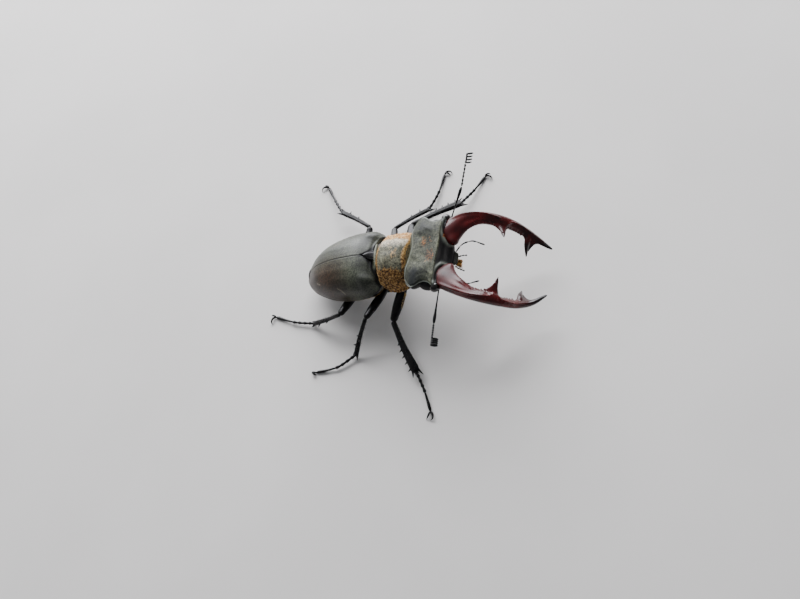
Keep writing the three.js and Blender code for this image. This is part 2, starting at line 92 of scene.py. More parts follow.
# Along a jaw: x, y, z, half breadth, half depth.
JAW_STATIONS = (
    (7.4, 5.4, 0.4, 2.9, 2.2),
    (10.3, 7.1, 1.4, 2.8, 2.1),
    (13.0, 8.8, 1.9, 2.25, 1.8),
    (16.5, 10.2, 1.3, 1.7, 1.5),
    (20.0, 10.5, 0.0, 1.65, 1.4),
    (24.0, 10.4, -2.3, 1.45, 1.2),
    (27.5, 9.7, -5.0, 1.2, 1.0),
    (30.5, 8.5, -6.5, 0.8, 0.75),
    (34.0, 6.3, -6.5, 0.3, 0.3),
)
# The two spurs of a jaw: the share of its length where each is rooted, its tip, the reach of its flared root
# back and ahead along the jaw, its half breadth, and that of its tip.
SPURS = (
    (0.535, (22.9, 5.3, 0.7), 3.4, 1.9, 0.85, 0.1),
    (0.775, (27.4, 4.7, -8.2), 1.6, 3.4, 0.8, 0.22),
)
# Small teeth along the same edge: the share of the jaw's length where each stands, and its height.
DENTICLES = (
    (0.36, 0.14),
    (0.385, 0.26),
    (0.405, 0.2),
    (0.43, 0.34),
    (0.455, 0.5),
    (0.475, 0.42),
    (0.6, 0.14),
    (0.635, 0.22),
    (0.655, 0.3),
    (0.68, 0.34),
    (0.705, 0.5),
)

EYE = (7.9, 9.5, 1.7)
EYE_RADIUS = 1.25
PRONOTUM_EDGE = -3.2
ABDOMEN_FRONT = -9.2
SUTURE = 0.1

PALPS = {
    "maxillary": ((10.4, 2.6, -3.1), (11.7, 4.9, -3.1), (13.9, 5.95, -3.0), (17.6, 5.0, -2.9)),
    "labial": ((10.8, 1.2, -3.1), (12.2, 1.9, -3.3), (13.4, 2.2, -3.5)),
}

ANTENNA_ROOT = (8.9, 9.1, 1.1)
SCAPE = 9.4
FUNICLE = 9.3
ANTENNA_POSE = {"left": ((78, 12), (88, 6)), "right": ((-90, -4), (-77, 34))}
LAMELLA_COUNT = 4
LAMELLA_PITCH = 0.85

# Hip, then the lengths of femur, tibia and tarsus, then half thickness of thigh, shin and the shin's far end.
LEGS = {
    "front": ((6.1, 4.2, 8.6), 10.9, 15.0, 10.6, 1.35, 0.8, 1.25),
    "middle": ((0.2, 4.5, 5.6), 11.1, 11.0, 12.0, 1.15, 0.6, 0.8),
    "hind": ((-8.4, 4.2, 3.9), 10.0, 11.3, 12.6, 1.2, 0.6, 0.8),
}
# Yaw and pitch of femur and tibia, the tibia's bow, then the tarsus's yaw and its bend.
STANCE = {
    "front_left": ((104, -18), (36, -12), 0.3, 62, -0.3),
    "front_right": ((-107, -23), (-58, -9), -0.3, -63, 0.3),
    "middle_left": ((104, -17), (38, -6), 0.2, 79, -0.6),
    "middle_right": ((-107, 14), (-117, -40), -0.2, -154, 1.2),
    "hind_left": ((93, 2), (152, -5), -0.2, 127, 0.2),
    "hind_right": ((-107, 16), (-177, -30), 0.2, 172, 0.6),
}
SPINES = {"front": (0.4, 0.52, 0.64, 0.76, 0.9), "middle": (0.5, 0.75), "hind": (0.45, 0.75)}
TARSUS_JOINTS = (0, 0.14, 0.27, 0.4, 0.53, 1)
TARSUS_RADIUS = 0.44
FLOOR_SINK = 0.2
# Each foot's two claws: the way each sets off, the way its tip ends, and its length.
CLAWS = {
    "front_left": ((5, -66, 2.9), (50, 18, 1.7)),
    "front_right": ((-36, -132, 3.0), (-100, -120, 2.3)),
    "middle_left": ((44, -48, 2.9), (16, -40, 1.9)),
    "middle_right": ((-165, 152, 2.3), (-180, 126, 2.5)),
    "hind_left": ((168, 268, 3.1), (138, 196, 1.9)),
    "hind_right": ((-140, -68, 2.8), (158, 178, 1.6)),
}
CLAW_RISE = (0.34, 0.72, 0.62, 0.12)

# ---- Frames of the body ----------------------------------------------------------------


def pitched(degrees):
    return Matrix.Rotation(math.radians(degrees), 4, "Y")


STAND = Matrix.Translation((-FOOTPRINT[0], -FOOTPRINT[1], 0))
HIND = STAND @ Matrix.Translation((0, 0, WAIST_HEIGHT))
HIND = HIND @ Matrix.Rotation(math.radians(HIND_YAW), 4, "Z") @ pitched(-HIND_PITCH)
THORAX = STAND @ Matrix.Translation((0, THORAX_LEAN, WAIST_HEIGHT)) @ pitched(-THORAX_PITCH)
HEAD = THORAX @ Matrix.Translation((THORAX_LENGTH, -THORAX_LEAN, 0)) @ pitched(THORAX_PITCH - HEAD_PITCH)

# ---- Making shapes ---------------------------------------------------------------------


def unit(vectors):
    """Each vector at length one."""
    return vectors / np.maximum(np.linalg.norm(vectors, axis=-1, keepdims=True), 1e-9)


def power(value, exponent):
    """A power that keeps the sign."""
    return np.sign(value) * np.abs(value) ** exponent


def hump(value, centre, width):
    """One at the centre, falling softly to nothing a width or two away."""
    return np.exp(-(((value - centre) / width) ** 2))


def ease(value, start, end):
    """Zero at the start, one at the end, and a soft step between."""
    share = np.clip((value - start) / (end - start), 0, 1)
    return share * share * (3 - 2 * share)


def smooth(places, values):
    """A smooth curve through the points, as a function of place."""
    places, values = np.asarray(places, float), np.asarray(values, float)
    slopes = np.gradient(values, places)

    def value(at):
        at = np.clip(at, places[0], places[-1])
        i = np.clip(np.searchsorted(places, at, side="right") - 1, 0, len(places) - 2)
        step = places[i + 1] - places[i]
        s = (at - places[i]) / step
        rise = 3 * s**2 - 2 * s**3
        return (
            values[i] * (1 - rise)
            + values[i + 1] * rise
            + step * (slopes[i] * (s**3 - 2 * s**2 + s) + slopes[i + 1] * (s**3 - s**2))
        )

    return value


def sized(*pairs):
    """A smooth size along a length, from pairs of share and size."""
    return smooth(*zip(*pairs))


def route(points):
    """A smooth path through the points, as a function of the share of its length."""
    points = np.asarray(points, float)
    steps = np.linalg.norm(np.diff(points, axis=0), axis=1)
    shares = np.concatenate([[0], np.cumsum(steps)]) / steps.sum()
    curves = [smooth(shares, points[:, axis]) for axis in range(3)]

    def at(share):
        return np.stack([curve(share) for curve in curves], axis=-1)

    return at, shares, steps.sum()


def ends(t, blunt, aspect):
    """Where ring t of a closed body stands along it, and how far the body is open there.

    The rings are evenly spaced over its outline, round the blunt ends too.
    """

    def outline(turn):
        run = (1 - power(np.cos(turn), 2 / blunt)) / 2
        return run, np.abs(np.sin(turn)) ** (2 / blunt)

    turn = np.linspace(0, np.pi, 4001)
    run, opening = outline(turn)
    way = np.concatenate([[0], np.cumsum(np.hypot(np.diff(run) * aspect, np.diff(opening)))])
    return outline(np.interp(t, way / way[-1], turn))


def lofted(rings, sides, place):
    """A closed body: place(t, angle) puts every ring, and it closes to a point at both ends."""
    bm = bmesh.new()
    bmesh.ops.create_uvsphere(bm, u_segments=sides, v_segments=rings, radius=1)
    sphere = places_of(bm)
    t = np.arccos(np.clip(-sphere[:, 2], -1, 1)) / np.pi
    angle = np.arctan2(sphere[:, 1], sphere[:, 0])
    return moved(bm, place(t, angle))


def places_of(bm):
    return np.array([v.co for v in bm.verts])


def moved(bm, places):
    for vert, place in zip(bm.verts, places):
        vert.co = place
    return bm


def limb(points, breadth, depth=None, rings=40, sides=20, up=(0, 0, 1), blunt=5, detail=None, section=None):
    """A body along a path. Breadth lies across it and level, depth stands over it; both are functions of the
    share of its length. Its section is round, or as section(share, angle) has it, and detail(share, angle) is
    added to it in millimetres."""
    at, _, length = route(points)
    depth = depth or breadth
    widest = float(np.max(breadth(np.linspace(0, 1, 30))))

    def place(t, angle):
        run, opening = ends(t, blunt, length / widest)
        centre = at(run)
        tangent = unit(at(np.minimum(run + 0.01, 1)) - at(np.maximum(run - 0.01, 0)))
        side = unit(np.cross(np.asarray(up, float), tangent))
        over = np.cross(tangent, side)
        extra = detail(run, angle) if detail else 0
        shape = section(run, angle) if section else 1
        across = (breadth(run) * shape + extra) * np.cos(angle) * opening
        above = (depth(run) * shape + extra) * np.sin(angle) * opening
        return centre + side * across[:, None] + over * above[:, None]

    return lofted(rings, sides, place)


def ball(centre, radii, rings, sides):
    bm = bmesh.new()
    bmesh.ops.create_uvsphere(bm, u_segments=sides, v_segments=rings, radius=1)
    bmesh.ops.scale(bm, vec=radii, verts=bm.verts)
    bmesh.ops.translate(bm, vec=centre, verts=bm.verts)
    return bm


def together(*parts):
    """Several bodies as one mesh."""
    whole = bmesh.new()
    for part in parts:
        scrap = bpy.data.meshes.new("scrap")
        part.to_mesh(scrap)
        part.free()
        whole.from_mesh(scrap)
        bpy.data.meshes.remove(scrap)
    return whole


def fused(bm, voxel, rounds):
    """Bodies that run into each other, grown together into one skin with soft inner corners."""
    scrap = bpy.data.meshes.new("scrap")
    bm.to_mesh(scrap)
    bm.free()
    holder = linked("scrap", scrap)
    remesh = holder.modifiers.new("skin", "REMESH")
    remesh.mode = "VOXEL"
    remesh.voxel_size = voxel
    skin = bmesh.new()
    skin.from_object(holder, bpy.context.evaluated_depsgraph_get())
    bpy.data.objects.remove(holder)
    bpy.data.meshes.remove(scrap)
    for _ in range(rounds):
        bmesh.ops.smooth_vert(
            skin, verts=skin.verts, factor=0.5, use_axis_x=True, use_axis_y=True, use_axis_z=True
        )
    return skin


def swollen(bm, amount):
    """Moves each vertex along its normal by amount(places)."""
    bm.normal_update()
    places = places_of(bm)
    normals = np.array([v.normal for v in bm.verts])
    return moved(bm, places + normals * amount(places)[:, None])


def flipped(bm):
    """The same body for the other side of the beetle."""
    bmesh.ops.scale(bm, vec=(1, -1, 1), verts=bm.verts)
    bmesh.ops.reverse_faces(bm, faces=bm.faces)
    return bm


def cut(bm, point, normal):
    """Removes what lies beyond a plane, and closes the cut."""
    geometry = list(bm.verts) + list(bm.edges) + list(bm.faces)
    bmesh.ops.bisect_plane(bm, geom=geometry, dist=1e-5, plane_co=point, plane_no=normal, clear_outer=True)
    rim = [edge for edge in bm.edges if edge.is_boundary]
    bmesh.ops.holes_fill(bm, edges=rim, sides=0)
    return bm


def painted(bm, **masks):
    """Gives every vertex a number for each mask, worked out from its place, for a finish to read."""
    for name, value in masks.items():
        layer = bm.verts.layers.float.new(name)
        for vert, number in zip(bm.verts, value(places_of(bm))):
            vert[layer] = float(number)
    return bm


def linked(name, data):
    """A new object in the scene."""
    made = bpy.data.objects.new(name, data)
    scene.collection.objects.link(made)
    return made


def finished(name, bm, place, finish, slot, *nodes):
    """Turns a bmesh in millimetres into a piece of the beetle."""
    bm.transform(Matrix.Scale(MM, 4) @ place)
    bmesh.ops.recalc_face_normals(bm, faces=bm.faces)
    mesh = bpy.data.meshes.new(name)
    bm.to_mesh(mesh)
    bm.free()
    mesh.shade_smooth()
    mesh.materials.append(finish)
    piece = linked(name, mesh)
    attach(piece, "root")
    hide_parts(*nodes)


def heading(yaw, pitch=0):
    """The way that a yaw and a pitch in degrees point."""
    yaw, pitch = math.radians(yaw), math.radians(pitch)
    level = math.cos(pitch)
    return np.array([level * math.cos(yaw), level * math.sin(yaw), math.sin(pitch)])


def crowded(angle, peaks, share):
    """Angles round a section, drawn together at the side edges, or for 4 peaks at the middle line too."""
    return angle - share * np.sin(peaks * angle) / peaks


class Plate:
    """A plate-like body from its stations: domed above its side edge, rounded below, with blunt ends."""

    def __init__(self, stations, dome=2.2, belly=2.4, blunt=8):
        places, *columns = zip(*stations)
        self.width, self.top, self.edge, self.under = (smooth(places, column) for column in columns)
        self.back, self.front = places[0], places[-1]
        self.dome, self.belly, self.blunt = dome, belly, blunt
        self.aspect = (self.front - self.back) / max(columns[0])

    def point(self, t, angle):
        """The place of (t, angle) on the plate, with its outward way in the cross-section."""
        run, opening = ends(t, self.blunt, self.aspect)
        x = self.back + (self.front - self.back) * run
        rim, upper = self.edge(x), np.sin(angle) > 0
        height = np.where(upper, self.top(x) - rim, rim - self.under(x))
        full = np.where(upper, self.dome, self.belly)
        y = self.width(x) * power(np.cos(angle), 2 / self.dome) * opening
        z = height * power(np.sin(angle), 2 / full) * opening
        across = power(y / self.width(x), full - 1) / self.width(x)
        above = power(z / height, full - 1) / height
        way = np.stack([np.zeros_like(x), across, above], axis=-1)
        return np.stack([x, y, rim + z], axis=-1), unit(way)


# ---- Materials -------------------------------------------------------------------------


def linear(code):
    """An sRGB hex colour as the linear colour that the shader takes."""
    channels = [int(code[i : i + 2], 16) / 255 for i in (0, 2, 4)]
    return [c / 12.92 if c <= 0.04045 else ((c + 0.055) / 1.055) ** 2.4 for c in channels] + [1.0]


def tone(value):
    """A colour for a socket, from a hex code or a grey. A node or an output stays as it is."""
    if isinstance(value, str):
        return linear(value)
    if isinstance(value, (int, float)):
        return (value, value, value, 1)
    return value


def per(size):
    """The scale of a pattern whose features are that many millimetres apart."""
    return 1 / (size * MM)


def add(tree, kind, sockets=None, ramp=None, **properties):
    """Adds a node with its settings. A socket given as a node or an output is linked."""
    node = tree.nodes.new("ShaderNode" + kind)
    for name, value in properties.items():
        setattr(node, name, value)
    for name, value in (sockets or {}).items():
        if isinstance(value, bpy.types.Node):
            value = value.outputs[0]
        if isinstance(value, bpy.types.NodeSocket):
            tree.links.new(value, node.inputs[name])
        else:
            node.inputs[name].default_value = value
    if ramp:
        stops = node.color_ramp.elements
        stops.remove(stops[1])
        stops[0].position, stops[0].color = ramp[0]
        for place, colour in ramp[1:]:
            stops.new(place).color = colour
    return node


def material(name):
    """An empty material, its nodes, and the places on the object that its patterns follow."""
    made = bpy.data.materials.new(name)
    made.use_nodes = True
    tree = made.node_tree
    tree.nodes.clear()
    return made, tree, add(tree, "TexCoord").outputs["Object"]


def surface(tree, sockets):
    """The shader of a material, straight to its output."""
    add(tree, "OutputMaterial", {"Surface": add(tree, "BsdfPrincipled", sockets)})


def noise(tree, place, size, detail, roughness=0.5, distortion=0.0):
    """Soft noise with its lumps that many millimetres apart."""
    sockets = {"Vector": place, "Scale": per(size), "Detail": detail}
    sockets.update({"Roughness": roughness, "Distortion": distortion})
    return add(tree, "TexNoise", sockets)


def cells(tree, place, size):
    """Round cells that many millimetres apart, dark in the middle."""
    return add(tree, "TexVoronoi", {"Vector": place, "Scale": per(size)})


def mask(tree, name):
    """A number that was painted on the vertices."""
    return add(tree, "Attribute", attribute_name=name).outputs["Fac"]


def tones(tree, value, *stops):
    """A value as a colour that runs from stop to stop, each a place with a hex colour or a grey."""
    return add(tree, "ValToRGB", {"Fac": value}, ramp=[(at, tone(shade)) for at, shade in stops])


def mix(tree, share, first, second, blend="MIX"):
    sockets = {"Fac": share, "Color1": tone(first), "Color2": tone(second)}
    return add(tree, "MixRGB", sockets, blend_type=blend)


def spread(tree, value, low, high, start=0, end=1):
    """A value between start and end, spread from low to high."""
    sockets = {"Value": value, "From Min": start, "From Max": end, "To Min": low, "To Max": high}
    return add(tree, "MapRange", sockets)


def relief(tree, height, strength, depth, **properties):
    """Fine relief of that many millimetres."""
    sockets = {"Strength": strength, "Distance": depth * MM, "Height": height}
    return add(tree, "Bump", sockets, **properties)


def wing_case_chitin():
    """Chitin of the wing cases: hard, smooth and almost black, under a thin waxy bloom that greys it green.
    Towards the tip of the right wing case it is brown, partly rubbed and partly painted shade on the side
    turned from the light. The bloom is missing at the front rim and round the scutellum, where the black
    shell shines; the front slope and the front third are also darkened with painted shade."""
    made, tree, place = material("wing_case_chitin")
    bare = mask(tree, "bare")
    cloud = noise(tree, place, 6, 6, 0.62)
    fine = noise(tree, place, 0.4, 4, 0.7)
    bloom = tones(tree, cloud, (0.3, "2b3028"), (0.5, "42493d"), (0.7, "596251"))
    brown = tones(tree, cloud, (0.3, "271a12"), (0.5, "3a2a1c"), (0.7, "493726"))
    # Brown where rubbed towards the right tip, which is also painted shade.
    mixed = mix(tree, mask(tree, "worn"), bloom, brown)
    flecks = tones(tree, fine, (0.41, 0.08), (0.6, 1.0))
    speckled = mix(tree, 0.6, mixed, flecks, "OVERLAY")
    scuffed = mix(tree, mask(tree, "rubbed"), speckled, "857a68")
    dents = tones(tree, cells(tree, place, 0.4), (0.0, 0), (0.35, 1))
    sockets = {
        # Black where bare, and painted shade at the front of the wing cases.
        "Base Color": mix(tree, bare, scuffed, "080808"),
        "Roughness": mix(tree, bare, spread(tree, cloud, 0.38, 0.5, 0.3, 0.7), 0.75),
        "IOR": 1.56,
        "Specular IOR Level": 0.38,
        "Coat Weight": 0.05,
        "Coat Roughness": 0.3,
        "Normal": relief(tree, mix(tree, 0.45, fine, dents), 0.35, 0.07),
    }
    surface(tree, sockets)
    return made


def head_chitin():
    """Chitin of the head: grained like fine leather, dull grey-green on top and bare black at its sides and
    front, with rusty grit caught in the hollows of the crown, painted shade on the temples and a painted
    highlight on the rim and round the jaws' sockets."""
    made, tree, place = material("head_chitin")
    bare = mask(tree, "bare")
    cloud = noise(tree, place, 4, 5, 0.6)
    grains = cells(tree, place, 0.19)
    sand = noise(tree, place, 0.75, 6, 0.82)
    dust = noise(tree, place, 0.45, 3, 0.7)
    bloom = tones(tree, cloud, (0.3, "3b3e32"), (0.5, "575949"), (0.7, "75775f"))
    grained = mix(tree, 0.15, bloom, tones(tree, grains, (0.0, 0.8), (0.6, 0.3)), "OVERLAY")
    caught = add(tree, "Math", {0: sand, 1: mask(tree, "grit")}, operation="MULTIPLY")
    gritty = tones(tree, caught, (0.5, 0), (0.6, 0.9))
    rust = tones(tree, dust, (0.38, "270b05"), (0.48, "652a0f"), (0.56, "8f5225"), (0.66, "bd9058"))
    sanded = tones(tree, sand, (0.42, 0.0), (0.58, 1.0))
    powdered = tones(tree, dust, (0.43, 0.05), (0.6, 1.0))
    mottled = mix(tree, 0.85, grained, mix(tree, 0.5, sanded, powdered), "OVERLAY")
    rusty = mix(tree, gritty, mottled, rust)
    # Painted shade on the temples.
    shaded = mix(tree, mask(tree, "shade"), rusty, "1b1f21")
    shell = mix(tree, bare, shaded, "0b090a")
    # Painted highlight on the rim and round the jaws' sockets.
    rim_highlighted = mix(tree, mask(tree, "pale"), shell, "8b9188")
    stuck = add(tree, "Math", {0: mask(tree, "crumb"), 1: dust}, operation="MULTIPLY")
    crumbly = tones(tree, stuck, (0.36, 0), (0.42, 1))
    sockets = {
        "Base Color": mix(tree, crumbly, rim_highlighted, rust),
        "Roughness": spread(tree, bare, 0.62, 0.45),
        "IOR": 1.5,
        "Specular IOR Level": 0.32,
        "Normal": relief(tree, mix(tree, 0.35, sand, grains), 0.55, 0.09),
    }
    surface(tree, sockets)
    return made


def pronotum_chitin():
    """Chitin of the pronotum: grey-green on the crown, and all round it an ochre crust of dried earth and
    short down, grainy and quite dull. Its far slope is paler: partly pale dust, partly painted light on the
    side facing the light."""
    made, tree, place = material("pronotum_chitin")
    # Pale far slope: dust, and painted light on the side that faces the light.
    dry = mask(tree, "dry")
    cloud = noise(tree, place, 3, 5, 0.6)
    crumbs = noise(tree, place, 0.55, 6, 0.82)
    bloom = tones(tree, cloud, (0.3, "424437"), (0.5, "605f4e"), (0.7, "85836e"))
    dusty_lit = tones(tree, cloud, (0.3, "948a74"), (0.5, "b8ac93"), (0.7, "d6cab0"))
    damp = tones(tree, crumbs, (0.39, "0b0503"), (0.46, "4a2c14"), (0.53, "9a7038"), (0.6, "e0ba80"))
    # Paler crust for the far slope: dried earth, and painted light.
    dried = tones(tree, crumbs, (0.36, "55341a"), (0.44, "a06c38"), (0.53, "cd9f66"), (0.62, "ecd5ab"))
    down = tones(tree, crumbs, (0.38, "6d4a1c"), (0.62, "d9b56c"))
    coated = mix(tree, mask(tree, "golden"), mix(tree, dry, damp, dried), down)
    edge = add(tree, "Math", {0: crumbs, 1: mask(tree, "crust")}, operation="ADD")
    caught = tones(tree, edge, (0.75, 0), (1.2, 1))
    flecked = tones(tree, crumbs, (0.41, 0.0), (0.59, 1.0))
    sanded = mix(tree, 0.7, mix(tree, dry, bloom, dusty_lit), flecked, "OVERLAY")
    grainy = mix(tree, 0.5, mix(tree, caught, cloud, crumbs), crumbs)
    sockets = {
        "Base Color": mix(tree, caught, sanded, coated),
        "Roughness": spread(tree, caught, 0.5, 0.85),
        "IOR": 1.5,
        "Specular IOR Level": 0.35,
        "Normal": relief(tree, grainy, 0.6, 0.12),
    }
    surface(tree, sockets)
    return made


def underside_chitin():
    """Chitin of the underside: black-brown, finely pitted and polished."""
    made, tree, place = material("underside_chitin")
    cloud = noise(tree, place, 3, 4)
    dents = tones(tree, cells(tree, place, 0.4), (0.0, 0), (0.3, 1))
    sockets = {
        "Base Color": tones(tree, cloud, (0.3, "070505"), (0.7, "1a100b")),
        "Roughness": spread(tree, cloud, 0.22, 0.42),
        "IOR": 1.56,
        "Coat Weight": 0.3,
        "Coat Roughness": 0.2,
        "Normal": relief(tree, dents, 0.25, 0.05),
    }
    surface(tree, sockets)
    return made


def jaw_chitin():
    """Chitin of the jaws: thick, polished by use, dark chestnut red, black at the tips and cutting edges, and
    duller at the root."""
    made, tree, place = material("jaw_chitin")
    tip = mask(tree, "tip")
    cloud = noise(tree, place, 4, 4)
    red = tones(tree, cloud, (0.3, "2c0304"), (0.55, "4a0708"), (0.75, "620b0c"))
    shine = mix(tree, tip, spread(tree, cloud, 0.2, 0.32), 0.18)
    sockets = {
        "Base Color": mix(tree, tip, red, "0b0404"),
        "Roughness": mix(tree, mask(tree, "root"), shine, 0.5),
        "IOR": 1.56,
        "Specular IOR Level": 0.38,
        "Coat Weight": 0.1,
        "Coat Roughness": 0.14,
        "Normal": relief(tree, noise(tree, place, 0.35, 3), 0.1, 0.03),
    }
    surface(tree, sockets)
    return made


def leg_chitin():
    """Chitin of legs, feelers and scutellum: black, glossy, with shallow pits that grey the gloss."""
    made, tree, place = material("leg_chitin")
    cloud = noise(tree, place, 1.5, 4)
    dents = tones(tree, cells(tree, place, 0.35), (0.0, 0), (0.3, 1))
    sockets = {
        "Base Color": tones(tree, cloud, (0.3, "030304"), (0.7, "0c0a0a")),
        "Roughness": spread(tree, cloud, 0.2, 0.38),
        "IOR": 1.5,
        "Specular IOR Level": 0.22,
        "Coat Weight": 0.03,
        "Coat Roughness": 0.2,
        "Normal": relief(tree, dents, 0.3, 0.04),
    }
    surface(tree, sockets)
    return made


def eye_facets():
    """The cornea of a compound eye: black, wet-looking, in tiny domed facets, coarser than life to show."""
    made, tree, place = material("eye_facets")
    facets = cells(tree, place, 0.14)
    sockets = {
        "Base Color": tones(tree, facets, (0.2, "0c0a09"), (0.7, "1c1510")),
        "Roughness": 0.25,
        "IOR": 1.5,
        "Coat Weight": 0.3,
        "Coat Roughness": 0.12,
        "Normal": relief(tree, facets, 0.15, 0.03, invert=True),
    }
    surface(tree, sockets)
    return made


def bristle(name, dark, light):
    """Insect hair: a thin, stiff, slightly glossy bristle, in patches of dark and light."""
    made, tree, place = material(name)
    colour = tones(tree, noise(tree, place, 0.6, 2), (0.35, dark), (0.65, light))
    surface(tree, {"Base Color": colour, "Roughness": 0.45, "IOR": 1.55, "Sheen Weight": 0.2})
    return made


def joint_skin():
    """The soft skin between plates: wrinkled, matt, pale grey-green."""
    made, tree, place = material("joint_skin")
    folds = noise(tree, place, 0.8, 4, distortion=1.5)
    pale = tones(tree, folds, (0.3, "3e4136"), (0.7, "7d8169"))
    # Black where the mask says, which at the waist is partly painted shade.
    colour = mix(tree, mask(tree, "bare"), pale, "0c0b0b")
    normal = relief(tree, folds, 0.5, 0.1)
    surface(tree, {"Base Color": colour, "Roughness": 0.5, "IOR": 1.5, "Normal": normal})
    return made


WING_CASE = wing_case_chitin()
HEAD_SHELL = head_chitin()
PRONOTUM = pronotum_chitin()
UNDERSIDE = underside_chitin()
JAW = jaw_chitin()
LEG = leg_chitin()
EYE_GLOSS = eye_facets()
JOINT_SKIN = joint_skin()
GOLD_HAIR = bristle("golden_bristle", "a5803c", "e8c078")
OCHRE_HAIR = bristle("ochre_bristle", "6b4420", "b98a4a")
BROWN_HAIR = bristle("brown_bristle", "2a1a0f", "6b4a26")
BRUSH_HAIR = bristle("mouth_bristle", "c06c12", "ffd06a")
BLACK_HAIR = bristle("black_bristle", "0a0808", "2a211b")

# ---- Hairs -----------------------------------------------------------------------------

PATCH = 0.003  # side of each hair's patch on the unwrap of the skin that it grows from
ROOT_DEPTH = 0.05  # how far a hair's root lies below the skin, in millimetres


def hairs(name, finish, slot, roots, ways, sag, lengths, thickness, homes):
    """Solid hairs as one mesh: three-sided, bent once and pointed. The homes are their roots' places on the
    unwrapped skin, and each hair's own map is a small patch there."""
    count = len(roots)
    ways = unit(ways)
    side = unit(np.cross(ways, unit(rng.normal(size=(count, 3)))))
    over = np.cross(ways, side)
    rings = []
    for share, girth in ((0.0, 1.0), (0.5, 0.8)):
        centre = roots + ways * (lengths * share)[:, None] + sag * (lengths * share**2)[:, None]
        for k in range(3):
            turn = 2 * math.pi * k / 3
            rings.append(centre + (side * math.cos(turn) + over * math.sin(turn)) * thickness * girth)
    rings.append(roots + ways * lengths[:, None] + sag * lengths[:, None])
    places = np.stack(rings, axis=1)
    pattern = [(0, 1, 4, 3), (1, 2, 5, 4), (2, 0, 3, 5), (3, 4, 6), (4, 5, 6), (5, 3, 6), (2, 1, 0)]
    mesh = bpy.data.meshes.new(name)
    faces = [tuple(7 * i + k for k in face) for i in range(count) for face in pattern]
    mesh.from_pydata((places.reshape(-1, 3) * MM).tolist(), [], faces)
    patch = np.array([(0, 0), (0.5, 0), (1, 0), (0, 0.5), (0.5, 0.5), (1, 0.5), (0.5, 1)]) * PATCH
    layout = (np.asarray(homes)[:, None, :] * (1 - PATCH) + patch[None]).reshape(-1, 2)
    corners = np.empty(len(mesh.loops), dtype=np.int32)
    mesh.loops.foreach_get("vertex_index", corners)
    layer = mesh.uv_layers.new(name="OFBake")
    layer.uv.foreach_set("vector", layout[corners].astype(np.float32).ravel())
    mesh.shade_smooth()
    mesh.materials.append(finish)
    piece = linked(name, mesh)
    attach(piece, "root")


def placed(matrix, points):
    """Points of a frame, in the floor's frame."""
    turn = np.array(matrix.to_3x3())
    return points @ turn.T + np.array(matrix.translation)


def turned(matrix, vectors):
    """Ways in a frame, as ways over the floor."""
    return vectors @ np.array(matrix.to_3x3()).T


# ---- Hind body -------------------------------------------------------------------------

WING_DOME = Plate([(x, w, top, edge, edge - 0.5) for x, w, top, edge, _ in HIND_STATIONS], dome=2.25, belly=6)
BELLY = Plate(
    [(x + 0.2, max(1.2, w - 0.6), edge + 1.5, edge, under) for x, w, _, edge, under in HIND_STATIONS]
)


def shield_width(x):
    """Half width of the scutellum, a small triangle that points backwards."""
    return np.interp(x, (-3.3, -2.6, -1.7, -0.8, 0.4), (0.0, 0.5, 0.95, 1.3, 1.4))


def wing_case_place(t, angle):
    place, way = WING_DOME.point(t, crowded(angle, 4, 0.88))
    x, y, z = place.T
    upper = z > WING_DOME.edge(x)
    height = z - WING_DOME.edge(x)
    rim = 0.13 * hump(height, 0.12, 0.16) - 0.1 * hump(height, 0.6, 0.25)
    shoulder = 0.35 * hump(x, -3.2, 1.3) * hump(np.abs(y), 6.3, 1.4)
    slope = -0.3 * ease(x, -4.9, -2.4) * (1 - ease(np.abs(y), 5.0, 6.5))
    hollow = -0.08 * hump(x, -2.2, 0.9) * hump(np.abs(y), 3.6, 1.2)
    margin = 0.22 * hump(x, -0.95, 0.25) - 0.2 * hump(x, -1.5, 0.25)
    bead = 0.02 * hump(np.abs(y), 0.4, 0.18) * ease(-x, 4, 5)
    ribs = 0.03 * np.sin(np.abs(y) * 2.4) * ease(np.abs(y), 1, 3) * ease(-x, 4, 9)
    relief = rim + shoulder + slope + hollow + margin + bead + ribs
    place = place + way * np.where(upper, relief, 0)[:, None]
    place[:, 0] += 1.1 * hump(np.abs(y), 6.9, 1.7) * ease(x, -3.6, -0.6)
    seam = 0.11
    inside = np.clip(seam - np.abs(y), 0, seam)
    place[:, 2] -= np.where(upper, seam - np.sqrt(seam**2 - inside**2), 0)
    groove = np.where(x > -3.8, hump(np.abs(y) - shield_width(x), 0.0, 0.18), 0)
    sunk = np.where((np.abs(y) < shield_width(x)) & (x > -3.3), 0.4, 0)
    place[:, 2] -= np.where(upper, 0.32 * groove + sunk, 0)
    return place


def wing_case(side):
    bm = lofted(190, 300, wing_case_place)
    cut(bm, (0, side * SUTURE / 2, 0), (0, -side, 0))
    return painted(bm, worn=wing_case_worn, bare=wing_case_bare_and_shade, rubbed=wing_case_rubbed)


def wing_case_worn(places):
    """Browner towards the tips of the right wing case: partly rubbed, partly painted shade on the side turned
    from the light.
    """
    return 0.2 + 0.8 * ease(-places[:, 0], 4, 15) * ease(-places[:, 1], -4, 5)


def wing_case_bare_and_shade(places):
    """Where the shell is painted black: bare round the scutellum, along the seam and under the sides, and at
    the front rim, where painted shade darkens the slope turned down to the pronotum and, more lightly, the
    front third.
    """
    x, y, z = places.T
    # Bare front rim with painted shade on its down-turned slope, then a lighter painted shade on the front
    # third.
    front = ease(x + 3.2 - np.minimum(0.55 * np.abs(y), 2.6), 0.0, 0.7) + 0.28 * ease(x, -5.6, -4.4)
    below = ease(WING_DOME.edge(x) + 0.1 - z, 0, 0.25)
    shield = ease(shield_width(x) + 0.75 - np.abs(y), 0.0, 0.5) * ease(x, -4.3, -3.6)
    seam = 0.8 * hump(y, 0.0, 0.14)
    return np.clip(front + below + shield + seam, 0, 1)


SCRATCHES = (
    ((-11.4, -7.5), (-10.2, -8.1), (-9.6, -8.7)),
    ((-18.9, -5.0), (-17.6, -5.6)),
    ((-14.0, 4.6), (-12.6, 4.9)),
)


